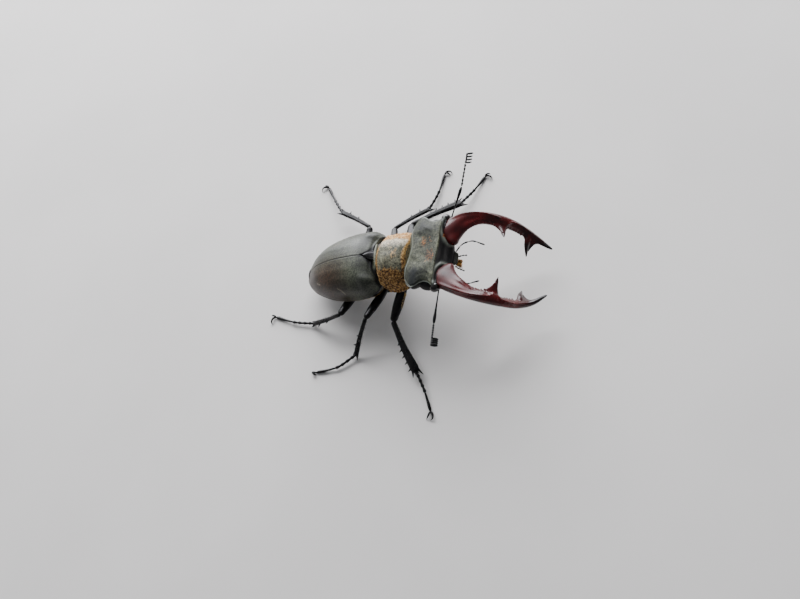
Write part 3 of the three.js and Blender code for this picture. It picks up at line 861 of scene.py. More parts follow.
def wing_case_rubbed(places):
    """A few pale scratches, and a pale line along the side rim."""
    x, y, z = places.T
    nearest = np.full(len(x), 9.0)
    for marks in SCRATCHES:
        for (x0, y0), (x1, y1) in zip(marks, marks[1:]):
            dx, dy = x1 - x0, y1 - y0
            run = np.clip(((x - x0) * dx + (y - y0) * dy) / (dx**2 + dy**2), 0, 1)
            away = np.hypot(x - x0 - run * dx, y - y0 - run * dy)
            nearest = np.minimum(nearest, away)
    rim = 0.5 * hump(z, WING_DOME.edge(x) + 0.16, 0.13) * ease(-x, 2, 5)
    return np.clip(hump(nearest, 0, 0.11) * (z > 0) + rim, 0, 1)


for name, side in SIDES:
    finished(f"wing_case_{name}", wing_case(side), HIND, WING_CASE, "wing_case", f"elytron_{name}")


def scutellum():
    """The small triangular shield between the wing cases."""
    stations = []
    for x in (-3.3, -2.6, -1.8, -1.0, -0.3, 0.3):
        top = float(WING_DOME.top(x)) - 0.3 * float(ease(x, -4.9, -2.4)) + 0.03
        stations.append((x, float(shield_width(x)) + 0.02, top, top - 0.25, top - 1.2))
    plate = Plate(stations, dome=3.2, belly=3, blunt=5)

    def place(t, angle):
        point, way = plate.point(t, angle)
        x, y, _ = point.T
        groove = -0.06 * hump(np.abs(y), plate.width(x) * 0.7, 0.2)
        return point + way * groove[:, None]

    return lofted(40, 64, place)


finished("scutellum_shield", scutellum(), HIND, LEG, "wing_case", "scutellum")

STERNITES = (-9.2, -12.3, -15.2, -18.0, -20.6, -26.0)


def belly_place(t, angle):
    place, way = BELLY.point(t, angle)
    x, y, z = place.T
    lower = ease(BELLY.edge(x) - z, -0.2, 0.6)
    step = np.zeros_like(x)
    for front, back in zip(STERNITES, STERNITES[1:]):
        share = (front - x) / (front - back)
        step += np.where((share >= 0) & (share < 1), 0.22 * ease(share, 0.0, 0.12) * (1 - 0.4 * share), 0)
    median = -0.25 * hump(y, 0, 0.5) * ease(x, -9, -7)
    coxal = 0.3 * hump(x, -8.0, 1.0) * hump(np.abs(y), 3.2, 2.6)
    pleats = 0.12 * np.sin(y * 1.3) * hump(x, -10.5, 1.0)
    return place + way * (lower * (step + median + coxal + pleats))[:, None]


def belly_half(front):
    bm = lofted(170, 120, belly_place)
    edge = (ABDOMEN_FRONT + (0.15 if front else 0), 0, 0)
    return cut(bm, edge, (-1, 0, 0) if front else (1, 0, 0))


finished("abdomen_segments", belly_half(False), HIND, UNDERSIDE, "underside", "abdomen")
finished("metathorax_plate", belly_half(True), HIND, UNDERSIDE, "underside", "metathorax")

# ---- Thorax ----------------------------------------------------------------------------

THORAX_PLATE = Plate(THORAX_STATIONS, dome=2.05, belly=2.4, blunt=10)


def crumbled(places, size, seed):
    """A lumpy field between about -1 and 1, from waves that cross at odd angles."""
    waves = np.random.default_rng(seed).normal(size=(14, 3)) * 2 / size
    phases = np.random.default_rng(seed + 1).uniform(0, 6.28, 14)
    return np.sin(places @ waves.T + phases).sum(axis=1) / 3.7


def in_sight(places):
    """One on the pronotum, and zero on its front end, which is tucked under the head."""
    x, y, z = places.T
    rim = THORAX_PLATE.edge(x)
    fullness = np.abs(y / THORAX_PLATE.width(x)) ** 2 + np.abs((z - rim) / (THORAX_PLATE.top(x) - rim)) ** 2
    return 1 - (1 - ease(fullness, 0.62, 0.86)) * ease(x, 9.3, 9.6)


def crust_at(places):
    """How thickly the dried crust lies: on both flanks, the near one most, and along both margins."""
    x, y, z = places.T
    flank = ease(-y, 3.6, 6.8) + 0.8 * ease(y, 2.8, 5.2)
    margins = 0.5 * ease(x - 0.05 * y, 9.15, 9.7) + 0.8 * ease(-x, -2.6, -1.8)
    patch = 0.12 * hump(x, 5.2, 0.9) * hump(y, 2.2, 1.0)
    patchy = 0.11 * crumbled(places, 1.3, 3)
    return np.clip(0.15 + flank + margins + patch + patchy, 0, 1) * in_sight(places)


def golden_at(places):
    """The two margins, where the down is thick and golden."""
    x = places[:, 0]
    far = ease(places[:, 1], -3.5, 1.5)
    front = hump(x, 9.8, 0.24) * (0.15 + 0.7 * far)
    return np.clip(front + 1.2 * hump(x, 1.25, 0.45), 0, 1) * in_sight(places)


def dry_at(places):
    """The far slope, painted pale: partly dried pale dust, partly painted light where it faces the light."""
    return 0.95 * ease(places[:, 1], 0.8, 3.2) * in_sight(places)


def thorax_place(t, angle):
    place, way = THORAX_PLATE.point(t, crowded(angle, 2, 0.7))
    x, y, z = place.T
    upper = ease(z, PRONOTUM_EDGE - 0.1, PRONOTUM_EDGE + 0.1)
    flange = 0.22 * hump(z, PRONOTUM_EDGE + 0.2, 0.22) - 0.1 * hump(z, PRONOTUM_EDGE + 0.75, 0.3)
    front = 0.14 * hump(x, 9.75, 0.22) - 0.12 * hump(x, 9.15, 0.3)
    rear = 0.16 * hump(x, 1.4, 0.2) - 0.14 * hump(x, 1.95, 0.3)
    median = -0.16 * hump(y, 0, 0.9) * hump(x, 5, 3)
    corners = 0.8 * hump(x, 1.6, 0.8) * ease(np.abs(y), 4.6, 6.0)
    dimples = -0.16 * hump(x, 5.2, 1.3) * hump(np.abs(y), 4.6, 1.1)
    earth = crust_at(place) * (0.05 + 0.07 * crumbled(place, 0.55, 5) + 0.06 * crumbled(place, 1.3, 9))
    lower = -0.25 * hump(x, 6.8, 0.4) * (1 - upper)
    relief = flange + front + rear + corners + median + dimples + earth
    return place + way * (upper * relief + lower)[:, None]


def thorax_half(upper):
    bm = lofted(160, 260, thorax_place)
    edge = PRONOTUM_EDGE - (0 if upper else 0.15)
    cut(bm, (0, 0, edge), (0, 0, -1 if upper else 1))
    return painted(bm, dry=dry_at, golden=golden_at, crust=crust_at)


finished("pronotum_shield", thorax_half(True), THORAX, PRONOTUM, "pronotum", "pronotum")
finished("prosternum_plate", thorax_half(False), THORAX, UNDERSIDE, "underside", "prosternum")


def waist():
    """The narrow ring between pronotum and wing cases, with one thick fold like a collar."""
    bm = ball((-0.2, 0, -1.2), (2.3, 6.1, 3.8), rings=90, sides=160)
    bmesh.ops.recalc_face_normals(bm, faces=bm.faces)
    swollen(bm, lambda p: 0.14 * np.sin(p[:, 0] * 7 + 0.4 * np.sin(p[:, 1])))
    fold = [(1.2, -4.0, 2.2), (0.95, -2.2, 2.9), (0.65, 0.0, 3.2), (0.35, 1.8, 3.1), (0.05, 3.6, 2.7)]
    collar = limb(fold, sized((0, 0.28), (0.5, 0.4), (1, 0.28)), sized((0, 0.45), (1, 0.45)), 90, 30)
    return painted(together(bm, collar), bare=waist_dark_and_shade)


def waist_dark_and_shade(places):
    """Where the waist is black: at its sides and below, partly dark skin and partly painted shade between the
    pronotum and the wing cases.
    """
    return ease(np.abs(places[:, 1] - 0.4), 3.4, 4.4) + ease(-places[:, 2], -2.3, -1.6)


finished("waist_collar", waist(), THORAX, JOINT_SKIN, "underside", "mesothorax")

# ---- Head ------------------------------------------------------------------------------

HEAD_PLATE = Plate(HEAD_STATIONS, dome=2.8, belly=2.6, blunt=10)
JAW_ROOT = np.array((9.6, 6.7, 1.0))
JAW_ROOT_REACH = (2.3, 2.9, 2.5)


def ridge_x(y):
    """Where the flat crown ends in a sharp ridge, above the slope to the mouth."""
    return 7.15 + 0.2 * hump(y, 0, 3.0)


def from_socket(places):
    """How far a place is from the nearer jaw's root: 1 at the rim of its socket."""
    near = np.stack([places[:, 0], np.abs(places[:, 1]), places[:, 2]], axis=-1)
    return np.linalg.norm((near - JAW_ROOT) / JAW_ROOT_REACH, axis=1)


def head_place(t, angle):
    place, way = HEAD_PLATE.point(t, crowded(angle, 2, 0.8))
    x, y, z = place.T
    across, rise, width = np.abs(y), z - HEAD_PLATE.edge(x), HEAD_PLATE.width(x)
    top = ease(rise, 0.0, 0.4)
    crown = top * (1 - ease(x, 7.3, 7.9))
    sides = ease(x, -0.9, 0.2) * (1 - ease(x, 8.8, 9.5))
    flare = 0.45 * hump(x, 1.7, 1.2) - 0.55 * hump(x, 4.8, 1.3) + 0.35 * hump(x, 7.6, 0.8)
    rim = sides * (0.26 * hump(rise, 0.08, 0.12) - 0.45 * hump(rise, -0.85, 0.5))
    gutter = -0.04 * hump(across, width - 0.8, 0.35) * crown
    brow = 0.5 * hump(x, 8.2, 0.8) * hump(rise, 0.15, 0.5)
    corner = 0.35 * hump(x, 8.0, 0.6) * hump(across, 8.5, 0.6)
    ridge = 0.3 * hump(x, ridge_x(y), 0.3) * top * (1 - ease(across, 7.4, 8.5))
    face = -0.55 * hump(x, ridge_x(y) + 0.85, 0.5) * top * (1 - ease(across, 2.5, 6.5))
    dish = -0.34 * hump(x, 4.4, 2.1) * hump(y, 0, 4.2) * top
    swell = 0.2 * hump(x, 3.3, 1.8) * hump(across, 5.8, 1.4) * top
    dents = -0.16 * hump(x, 1.8, 0.9) * hump(across, 3.4, 1.3) * top
    slope = -0.5 * hump(x, 9.3, 0.8) * hump(y, 0, 2.6) * ease(z, -1.2, 0)
    margin = 0.16 * hump(x, 0.95 * hump(y, 0.3, 3.4) - 0.35, 0.28) * top
    lumps = (0.05 * crumbled(place, 1.6, 21) + 0.022 * crumbled(place, 0.6, 22)) * top
    reach = from_socket(place)
    socket = (0.3 * hump(reach, 1.32, 0.13) - 0.45 * hump(reach, 1.04, 0.1)) * ease(x, 7.4, 8.0)
    relief = rim + gutter + brow + corner + ridge + face + dish
    relief = relief + swell + dents + slope + margin + lumps + socket
    place = place + way * relief[:, None]
    place[:, 1] += np.sign(y) * flare * sides * ease(across, 4.5, 8.0)
    place[:, 2] -= 1.25 * hump(y, 0.3, 3.8) * ease(-x, -1.2, 0.8) * top
    place[:, 2] -= 0.45 * ease(across, 4.5, 8.5) * ease(-x, -3.6, 0.0) * top
    return place


def head_bare(places):
    """Where the head is bare black chitin: below its rim, and on the slope in front of the ridge."""
    x, y, z = places.T
    below = ease(HEAD_PLATE.edge(x) - z, 0.0, 0.3)
    ahead = ease(x, ridge_x(y) + 0.05, ridge_x(y) + 0.4)
    # Kept out of the socket's rim, where the painted highlight goes.
    ahead = ahead * (1 - 0.6 * hump(from_socket(places), 1.34, 0.14))
    brow = ease(np.abs(y), 7.8, 8.5) * ease(x, 6.7, 7.3) * (0.6 + 0.35 * np.sign(y))
    return np.clip(below + ahead + brow, 0, 1)


def head_painted_highlight(places):
    """A painted highlight along the rim round the crown, on its rear edge, and round the sockets of the jaws.
    """
    x, y, z = places.T
    rim = hump(z, HEAD_PLATE.edge(x) + 0.14, 0.1) * ease(np.abs(y), 5.5, 7.5)
    rear = 0.8 * hump(x, 0.95 * hump(y, 0.3, 3.4) - 0.3, 0.12) * ease(z, 0.5, 1.2)
    socket = 0.7 * hump(from_socket(places), 1.36, 0.15) * ease(x, 7.2, 7.8) * ease(z, -1.0, 0.5)
    return np.clip(0.9 * rim * (1 - ease(x, 8.6, 9.2)) + rear + socket, 0, 1)


# Crumbs on the head: the middle of each, and its size.
HEAD_CRUMBS = (((7.95, 4.4, 2.2), 0.9), ((8.2, -7.9, 2.2), 0.5))


def head_painted_shade(places):
    """Painted shade on the temples, which slope away from the light: darkest on the right, less on the left.
    """
    x, y, _ = places.T
    return 0.95 * hump(x, 2.2, 2.4) * ease(-y, 3.2, 6.2) + 0.8 * hump(x, 2.4, 3.2) * ease(y, 3.0, 6.5)


def head_crumb(places):
    """A few crumbs of earth that stick to the head."""
    thick = np.zeros(len(places))
    for centre, size in HEAD_CRUMBS:
        thick = np.maximum(thick, hump(np.linalg.norm(places - centre, axis=1), size * 0.5, size * 0.5))
    return thick


def head_grit(places):
    """Where rusty grit is caught: in two hollows of the crown, and thinly all over it."""
    x, y, z = places.T
    first = hump(x, 4.1, 2.1) * hump(y, 2.2, 2.6)
    second = hump(x, 5.6, 1.9) * hump(y, -1.3, 3.2)
    return np.clip(0.5 * np.maximum(first, second) + 0.6, 0, 1.15) * ease(z, 2.0, 2.6)


def head_capsule():
    parts = [lofted(190, 300, head_place)]
    for _, side in SIDES:
        parts.append(ball((5.7, side * 8.0, 0.3), (2.3, 1.75, 1.7), 40, 60))
    clypeus = [(8.8, 0, -0.7), (10.9, 0, -1.2)]
    parts.append(limb(clypeus, sized((0, 2.9), (1, 2.3)), sized((0, 0.7), (1, 0.4)), 40, 60))
    masks = {"bare": head_bare, "pale": head_painted_highlight, "crumb": head_crumb, "shade": head_painted_shade}
    return painted(together(*parts), **masks, grit=head_grit)


finished("head_capsule", head_capsule(), HEAD, HEAD_SHELL, "head", "head")

for name, side in SIDES:
    centre = (EYE[0], side * EYE[1], EYE[2])
    eye = ball(centre, (EYE_RADIUS,) * 3, 40, 56)
    finished(f"eye_ball_{name}", eye, HEAD, EYE_GLOSS, "eye", f"eye_{name}")


LABRUM_STATIONS = (
    (10.2, 1.9, -0.8, -1.2, -1.7),
    (11.0, 1.8, -0.95, -1.3, -1.8),
    (11.8, 1.5, -1.15, -1.5, -1.95),
)


def labrum():
    plate = Plate(LABRUM_STATIONS, dome=3, belly=3, blunt=4)
    bm = lofted(36, 48, lambda t, angle: plate.point(t, angle)[0])
    return painted(bm, bare=lambda places: np.full(len(places), 0.75))


finished("upper_lip", labrum(), HEAD, HEAD_SHELL, "underside", "labrum")

# ---- Jaws ------------------------------------------------------------------------------

JAW_VOXEL = 0.09
JAW_AT, JAW_SHARES, _ = route([row[:3] for row in JAW_STATIONS])
JAW_BREADTH = smooth(JAW_SHARES, [row[3] for row in JAW_STATIONS])
JAW_DEPTH = smooth(JAW_SHARES, [row[4] for row in JAW_STATIONS])
# Round a jaw's section, 0 is outwards, a quarter turn is up and a half turn inwards. A keel runs along the
# outer shoulder, crosses over the top to the big tooth, and starts again beyond it. Within it the jaw has a
# flat face that leans inwards.
KEEL_SHARES = (0, 0.2, 0.35, 0.44, 0.49, 0.535, 0.58, 0.65, 0.8, 1)
KEEL = smooth(KEEL_SHARES, (0.5, 0.75, 1.1, 1.35, 1.6, 2.5, 1.6, 1.25, 1.25, 1.5))
INNER_EDGE = 3.4
FLANGE = sized((0, 0.6), (0.04, 1.7), (0.07, 1.9), (0.11, 0.9), (0.15, 0.25), (0.2, 0), (1, 0))


def jaw_section(share, angle):
    """The jaw's section: a crest on its keel, and the hollow flat face within."""
    turn = angle % (2 * np.pi)
    keel = KEEL(share)
    inside = np.clip((turn - keel) / (INNER_EDGE - keel), 0, 1)
    hollow = 0.4 * np.sin(np.pi * inside) * np.clip(2.95 - keel, 0, 2.1) / 2.1
    crest = 0.15 * hump(turn, keel, 0.16) * (1 - 0.6 * hump(share, 0.53, 0.05))
    return 1 + (crest - hollow) * ease(share, 0, 0.22) * (1 - 0.8 * ease(share, 0.75, 0.97))


def jaw_detail(share, angle):
    """The flange at the jaw's inner root, and the cutting edge beyond it."""
    inner = np.abs(np.abs(angle) - math.pi)
    return FLANGE(share) * hump(inner, 0, 0.5) + 0.16 * hump(inner, 0, 0.28) * ease(share, 0.22, 0.36)


def jaw_edge(share):
    """A place on the jaw's inner edge, the way that the jaw runs there, and the way inwards."""
    forward = unit(JAW_AT(share + 0.01) - JAW_AT(share - 0.01))
    inward = unit(np.array([forward[1], -forward[0], 0]))
    return JAW_AT(share) + inward * float(JAW_BREADTH(share)), forward, inward


def drawn_out(bm, share, tip, back, ahead, most, half_height, hollow):
    """Draws the skin round a place on the inner edge towards a tip, as if it were clay."""
    root, forward, inward = jaw_edge(share)
    away = places_of(bm) - root
    run, high, deep = away @ forward, away @ np.cross(forward, inward), away @ inward
    near = np.clip(1 - np.hypot(run / np.where(run < 0, back, ahead), high / half_height), 0, 1)
    pull = np.minimum(near**hollow, most) * ease(deep, -1.2, -0.4)
    return moved(bm, away + root + (tip - root) * pull[:, None])


def raised_edge(bm):
    """The jaw's inner half between root and tooth, broader and lifted."""
    places = places_of(bm)
    x, y, _ = places.T
    middle = np.interp(x, [row[0] for row in JAW_STATIONS], [row[1] for row in JAW_STATIONS])
    within = np.clip(middle - y, 0, 2)
    share = ease(x, 11.5, 16.0) * (1 - ease(x, 20.5, 23.0)) * within * ease(within, 0, 1.3)
    return moved(bm, places + share[:, None] * np.array([0.05, -0.2, 0.35]))


def jaw():
    points = [row[:3] for row in JAW_STATIONS]
    bm = limb(points, JAW_BREADTH, JAW_DEPTH, 360, 110, blunt=6, section=jaw_section, detail=jaw_detail)
    for share, height in DENTICLES:
        root, _, inward = jaw_edge(share)
        drawn_out(bm, share, root + inward * height * 1.3, 0.4, 0.4, 0.85, 0.5, 1.2)
    raised_edge(bm)
    thorns = []
    for share, tip, back, ahead, breadth, point in SPURS:
        tip = np.array(tip)
        drawn_out(bm, share, tip, back, ahead, 0.68, 1.1, 2.1)
        root, forward, inward = jaw_edge(share)
        size = sized((0, 1), (0.35, 0.96), (0.6, 0.72), (0.85, 0.42), (1, point / breadth))
        thorns.append(
            limb(
                [JAW_AT(share), root * 0.9 + tip * 0.1, tip],
                lambda run, most=breadth: size(run) * most,
                lambda run, most=breadth: size(run) * most * 0.75,
                90,
                40,
                up=np.cross(forward, inward),
                blunt=4,
            )
        )
    bm = fused(together(bm, *thorns), JAW_VOXEL, rounds=4)
    return painted(bm, tip=jaw_tip)


def jaw_tip(places):
    """Where a jaw is black: towards its tip, and along the cutting edge."""
    x, y, _ = places.T
    far = ease(x, 26, 33)
    inner = ease(8.3 - y, 0, 2.2) * ease(x, 17, 20)
    return np.clip(0.9 * far + 0.7 * inner, 0, 1)


for name, side in SIDES:
    made = jaw()
    dull = 0.6 - 0.4 * side  # the right jaw's root is much the duller
    painted(made, root=lambda p: dull * (1 - ease(np.linalg.norm(p - JAW_ROOT, axis=1), 2.4, 5.4)))
    finished(f"mandible_{name}", made if side > 0 else flipped(made), HEAD, JAW, "jaw", f"jaw_{name}")

# ---- Palps and feelers -----------------------------------------------------------------


def segments(points, joints, narrow, wide):
    """A jointed feeler or palp: a chain of short lengths, each wider at its far end."""
    at, _, _ = route(points)
    parts = []
    for start, end in zip(joints, joints[1:]):
        middle = (start + end) / 2
        size = sized((0, narrow), (0.45, (narrow + wide) / 2), (0.85, wide), (1, wide * 0.85))
        parts.append(limb([at(start), at(middle), at(end)], size, rings=20, sides=16, blunt=4))
    return parts


for kind, points in PALPS.items():
    for name, side in SIDES:
        points_here = [(x, side * y, z) for x, y, z in points]
        parts = segments(points_here, (0, 0.22, 0.5, 0.74, 1), 0.13, 0.21)
        finished(f"{kind}_feeler_{name}", together(*parts), HEAD, LEG, "feeler", f"{kind}_palp_{name}")

for name, side in SIDES:
    scape_way, funicle_way = (heading(*angles) for angles in ANTENNA_POSE[name])
    root = np.array(ANTENNA_ROOT) * (1, side, 1)
    elbow = root + scape_way * SCAPE
    tip = elbow + funicle_way * FUNICLE
    scape = limb(
        [root, (root + elbow) / 2, elbow],
        sized((0, 0.26), (0.12, 0.2), (0.6, 0.24), (0.92, 0.4), (1, 0.34)),
        rings=60,
        sides=20,
    )
    finished(f"feeler_stem_{name}", scape, HEAD, LEG, "feeler", f"scape_{name}")

    club = LAMELLA_PITCH * (LAMELLA_COUNT - 1) / FUNICLE
    parts = segments([elbow, tip], np.linspace(0.02, 1 - club - 0.04, 7), 0.17, 0.29)
    forward = unit(np.array([1.0, 0, 0]) - funicle_way * funicle_way[0])
    upward = np.cross(funicle_way, forward)
    for i in range(LAMELLA_COUNT):
        foot = tip - funicle_way * i * LAMELLA_PITCH
        thick = 0.2 if i == 0 else 0.12
        outer = foot + forward * 1.55 + funicle_way * 0.3
        parts.append(
            limb(
                [foot - forward * 0.25, foot + forward * 0.7 + funicle_way * 0.08, outer],
                sized((0, thick), (0.6, thick), (1, thick * 0.8)),
                sized((0, 0.24), (0.5, 0.42), (1, 0.3)),
                rings=30,
                sides=24,
                up=upward,
                blunt=3,
            )
        )
    parts += segments([tip - funicle_way * 2.75, tip], np.linspace(0, 1, 4), 0.2, 0.26)
    finished(f"feeler_club_{name}", together(*parts), HEAD, LEG, "feeler", f"funicle_{name}")

# ---- Legs ------------------------------------------------------------------------------


def femur_detail(share, angle):
    """The far half is grooved below, where the tibia folds in, and the knee swells."""
    groove = -0.12 * hump(angle, -math.pi / 2, 0.5) * ease(share, 0.4, 0.8)
    return groove + 0.1 * hump(share, 0.95, 0.06)


def tibia_detail(share, angle):
    """Six shallow ridges along the shin."""
    return 0.035 * np.cos(6 * angle) * ease(share, 0.05, 0.3)


def tibia_parts(knee, ankle, bow, shin, fan, spines):
    """The shin, with spines along its outer edge and spurs round its far end."""
    axis = unit(ankle - knee)
    leftward = unit(np.array([-axis[1], axis[0], 0]))
    outward = leftward * np.sign(bow)
    points = [knee, (knee + ankle) / 2 + leftward * bow, ankle]
    at, _, _ = route(points)
    spreading = shin + (fan - shin) * 0.6
    breadth = sized((0, shin * 1.1), (0.08, shin), (0.5, shin * 1.05), (0.8, spreading), (1, fan))
    depth = sized((0, shin * 1.05), (0.1, shin * 0.9), (1, shin * 0.8))
    parts = [limb(points, breadth, depth, rings=80, sides=36, blunt=6, detail=tibia_detail)]
    for share in spines:
        root = at(share)
        wide = float(breadth(share))
        reach = 0.75 if share > 0.5 else 0.5
        parts.append(spike(root + outward * wide * 0.5, root + outward * (wide + reach) + axis * 0.5, 0.34))
    for turn, length in ((1, 1.0), (-1, 1.4)):
        tip = ankle + axis * length + outward * turn * fan * 1.1
        parts.append(spike(at(0.92) + outward * turn * fan * 0.4, tip, 0.42))
    for turn in (-0.5, 0.45):
        tip = ankle + axis * 0.75 + outward * turn * fan
        parts.append(spike(at(0.95), tip, 0.3))
    return parts


def spike(root, tip, thick):
    size = sized((0, thick), (0.5, thick * 0.62), (1, thick * 0.2))
    return limb([root, tip], size, rings=20, sides=14, blunt=3)


def claw(foot, start, end, length):
    """A sickle that swings round from one way to another, up and over, down to its tip."""
    points = [np.array(foot)]
    for share in (0.05, 0.45, 1.0):
        points.append(points[-1] + heading(start + (end - start) * share) * length / 3)
    for point, rise in zip(points, CLAW_RISE):
        point[2] = rise
    size = sized((0, 0.3), (0.3, 0.27), (0.7, 0.18), (1, 0.07))
    return limb(points, size, rings=44, sides=16, blunt=3)


def tarsus_parts(ankle, yaw, bend, claws, length):
    """The foot: five joints with a point below each, two claws, and the small stalk between them."""
    level = heading(yaw)
    leftward = np.array([-level[1], level[0], 0])
    foot = ankle + level * length
    foot[2] = TARSUS_RADIUS - FLOOR_SINK
    arch = (ankle + foot) / 2 + leftward * bend
    arch[2] = foot[2] + (ankle[2] - foot[2]) * 0.35 + 0.2
    at, _, _ = route([ankle, arch, foot])
    parts = []
    for i, (start, end) in enumerate(zip(TARSUS_JOINTS, TARSUS_JOINTS[1:])):
        last = i == len(TARSUS_JOINTS) - 2
        wide = TARSUS_RADIUS * (0.94 if last else 1.0)
        size = sized((0, wide * 0.7), (0.35, wide * 0.74), (0.85, wide), (1, wide * 0.85))
        shape = [at(start - 0.012 * (i > 0)), at((start + end) / 2), at(end)]
        parts.append(limb(shape, size, rings=34, sides=22, blunt=5))
        if not last:
            down = at(end) + level * 0.3 - np.array([0, 0, wide])
            parts.append(spike(at(end) - level * 0.15, down, 0.22))
    for start, end, reach in claws:
        parts.append(claw(foot, start, end, reach))
    middle = heading((claws[0][0] + claws[1][0]) / 2)
    parts.append(spike(foot, foot + middle * 0.9 + np.array([0, 0, 0.1]), 0.18))
    for turn in (0.2, -0.2):
        side = np.array([-middle[1], middle[0], 0]) * turn
        parts.append(spike(foot + middle * 0.7, foot + middle * 1.5 + side, 0.06))
    return parts


LEG_PLACES = {}
for pair, (hip_left, femur_length, tibia_length, tarsus_length, thigh, shin, fan) in LEGS.items():
    for name, side in SIDES:
        label = f"{pair}_{name}"
        femur_way, tibia_way, bow, tarsus_yaw, bend = STANCE[label]
        hip = np.array(hip_left) * (1, side, 1)
        knee = hip + heading(*femur_way) * femur_length
        ankle = knee + heading(*tibia_way) * tibia_length
        LEG_PLACES[label] = (hip, knee, ankle)

        coxa = ball((hip[0], hip[1] - side * 0.9, hip[2] - 0.5), (1.65, 2.2, 1.65), 40, 56)
        finished(f"hip_{label}", coxa, STAND, LEG, "leg", f"coxa_{label}")

        breadths = (thigh * 0.72, thigh * 0.98, thigh, thigh * 0.8, thigh * 0.7)
        breadth = smooth((0, 0.3, 0.6, 0.9, 1), breadths)
        depth = sized((0, thigh * 0.6), (0.5, thigh * 0.82), (1, thigh * 0.6))
        femur = limb([hip, (hip + knee) / 2, knee], breadth, depth, 90, 44, blunt=5, detail=femur_detail)
        finished(f"thigh_{label}", femur, STAND, LEG, "leg", f"femur_{label}")

        tibia = together(*tibia_parts(knee, ankle, bow, shin, fan, SPINES[pair]))
        finished(f"shin_{label}", tibia, STAND, LEG, "leg", f"tibia_{label}")

        foot = together(*tarsus_parts(ankle, tarsus_yaw, bend, CLAWS[label], tarsus_length))
        for vert in foot.verts:
            vert.co.z = max(vert.co.z, 0.0)
        finished(f"foot_{label}", foot, STAND, LEG, "leg", f"tarsus_{label}")

# ---- Coats of hair ---------------------------------------------------------------------


def grown_on(plate, matrix, t, angle):
    """Roots, outward ways and unwrapped homes of hairs on a plate, in the floor's frame."""
    here, _ = plate.point(t, angle)
    step = 0.004
    along = plate.point(np.clip(t + step, 0, 1), angle)[0] - plate.point(np.clip(t - step, 0, 1), angle)[0]
    around = plate.point(t, angle + step)[0] - plate.point(t, angle - step)[0]
    outward = unit(np.cross(around, along)) * -1
    homes = np.stack([(angle / (2 * math.pi)) % 1, np.clip(t, 0, 1)], axis=-1)
    return placed(matrix, here), turned(matrix, outward), homes, here


def t_of(plate, x):
    """The ring of a plate that stands at x."""
    t = np.linspace(0, 1, 2001)
    run, _ = ends(t, plate.blunt, plate.aspect)
    return np.interp((x - plate.back) / (plate.front - plate.back), run, t)


def fringe(name, slot, plate, matrix, x, lean, count, length, spread, finish):
    """A row of hairs round the upper margin of a plate at x, leaning forwards or back."""
    angle = rng.uniform(-0.35, math.pi + 0.35, count)
    t = t_of(plate, x + rng.normal(size=count) * 0.12)
    roots, outward, homes, _ = grown_on(plate, matrix, t, angle)
    forward = turned(matrix, np.array([[1.0, 0, 0]]))
    ways = forward * lean + outward * 0.35 + rng.normal(size=(count, 3)) * spread
    lengths = length * rng.uniform(0.6, 1.15, count)
    hairs(name, finish, slot, roots - outward * ROOT_DEPTH, ways, -outward * 0.25, lengths, 0.026, homes)


fringe("fringe_front", "pronotum", THORAX_PLATE, THORAX, 9.85, 1.0, 1300, 0.24, 0.12, GOLD_HAIR)
fringe("fringe_rear", "pronotum", THORAX_PLATE, THORAX, 1.3, -1.0, 4200, 0.3, 0.12, GOLD_HAIR)


def down(name, slot, plate, matrix, span, angles, count, length, finish, keep=None, thickness=0.028):
    """Short hairs lying backwards over part of a plate."""
    angle = rng.uniform(*angles, count)
    t = t_of(plate, rng.uniform(*span, count))
    roots, outward, homes, here = grown_on(plate, matrix, t, angle)
    if keep is not None:
        kept = rng.uniform(size=count) < keep(here)
        roots, outward, homes = roots[kept], outward[kept], homes[kept]
        count = int(kept.sum())
    backward = turned(matrix, np.array([[-1.0, 0, 0]]))
    ways = backward * 0.9 + outward * 0.5 + rng.normal(size=(count, 3)) * 0.25
    lengths = length * rng.uniform(0.5, 1.2, count)
    hairs(name, finish, slot, roots - outward * ROOT_DEPTH, ways, -outward * 0.2, lengths, thickness, homes)


def in_crust(places):
    """The share of the down that the crust holds, less on the pale far slope of dust and painted light."""
    return ease(crust_at(places), 0.55, 1.0) * (1 - 0.8 * dry_at(places))


OVER = (-0.25, math.pi + 0.25)
BELOW = (-math.pi + 0.2, -0.2)
SHORT_OF_SIDES = (-math.pi + 0.3, -0.3)
crown = ("pronotum", THORAX_PLATE, THORAX, (1.4, 9.7), OVER)
down("down_pronotum", *crown, 16000, 0.15, OCHRE_HAIR, in_crust, 0.02)
down("down_prosternum", "underside", THORAX_PLATE, THORAX, (1.5, 9.6), BELOW, 3500, 0.8, BROWN_HAIR)
down("down_metathorax", "underside", BELLY, HIND, (-8.6, -0.8), SHORT_OF_SIDES, 6000, 0.9, GOLD_HAIR)
down("down_abdomen", "underside", BELLY, HIND, (-24.0, -9.6), BELOW, 3000, 0.35, BROWN_HAIR)


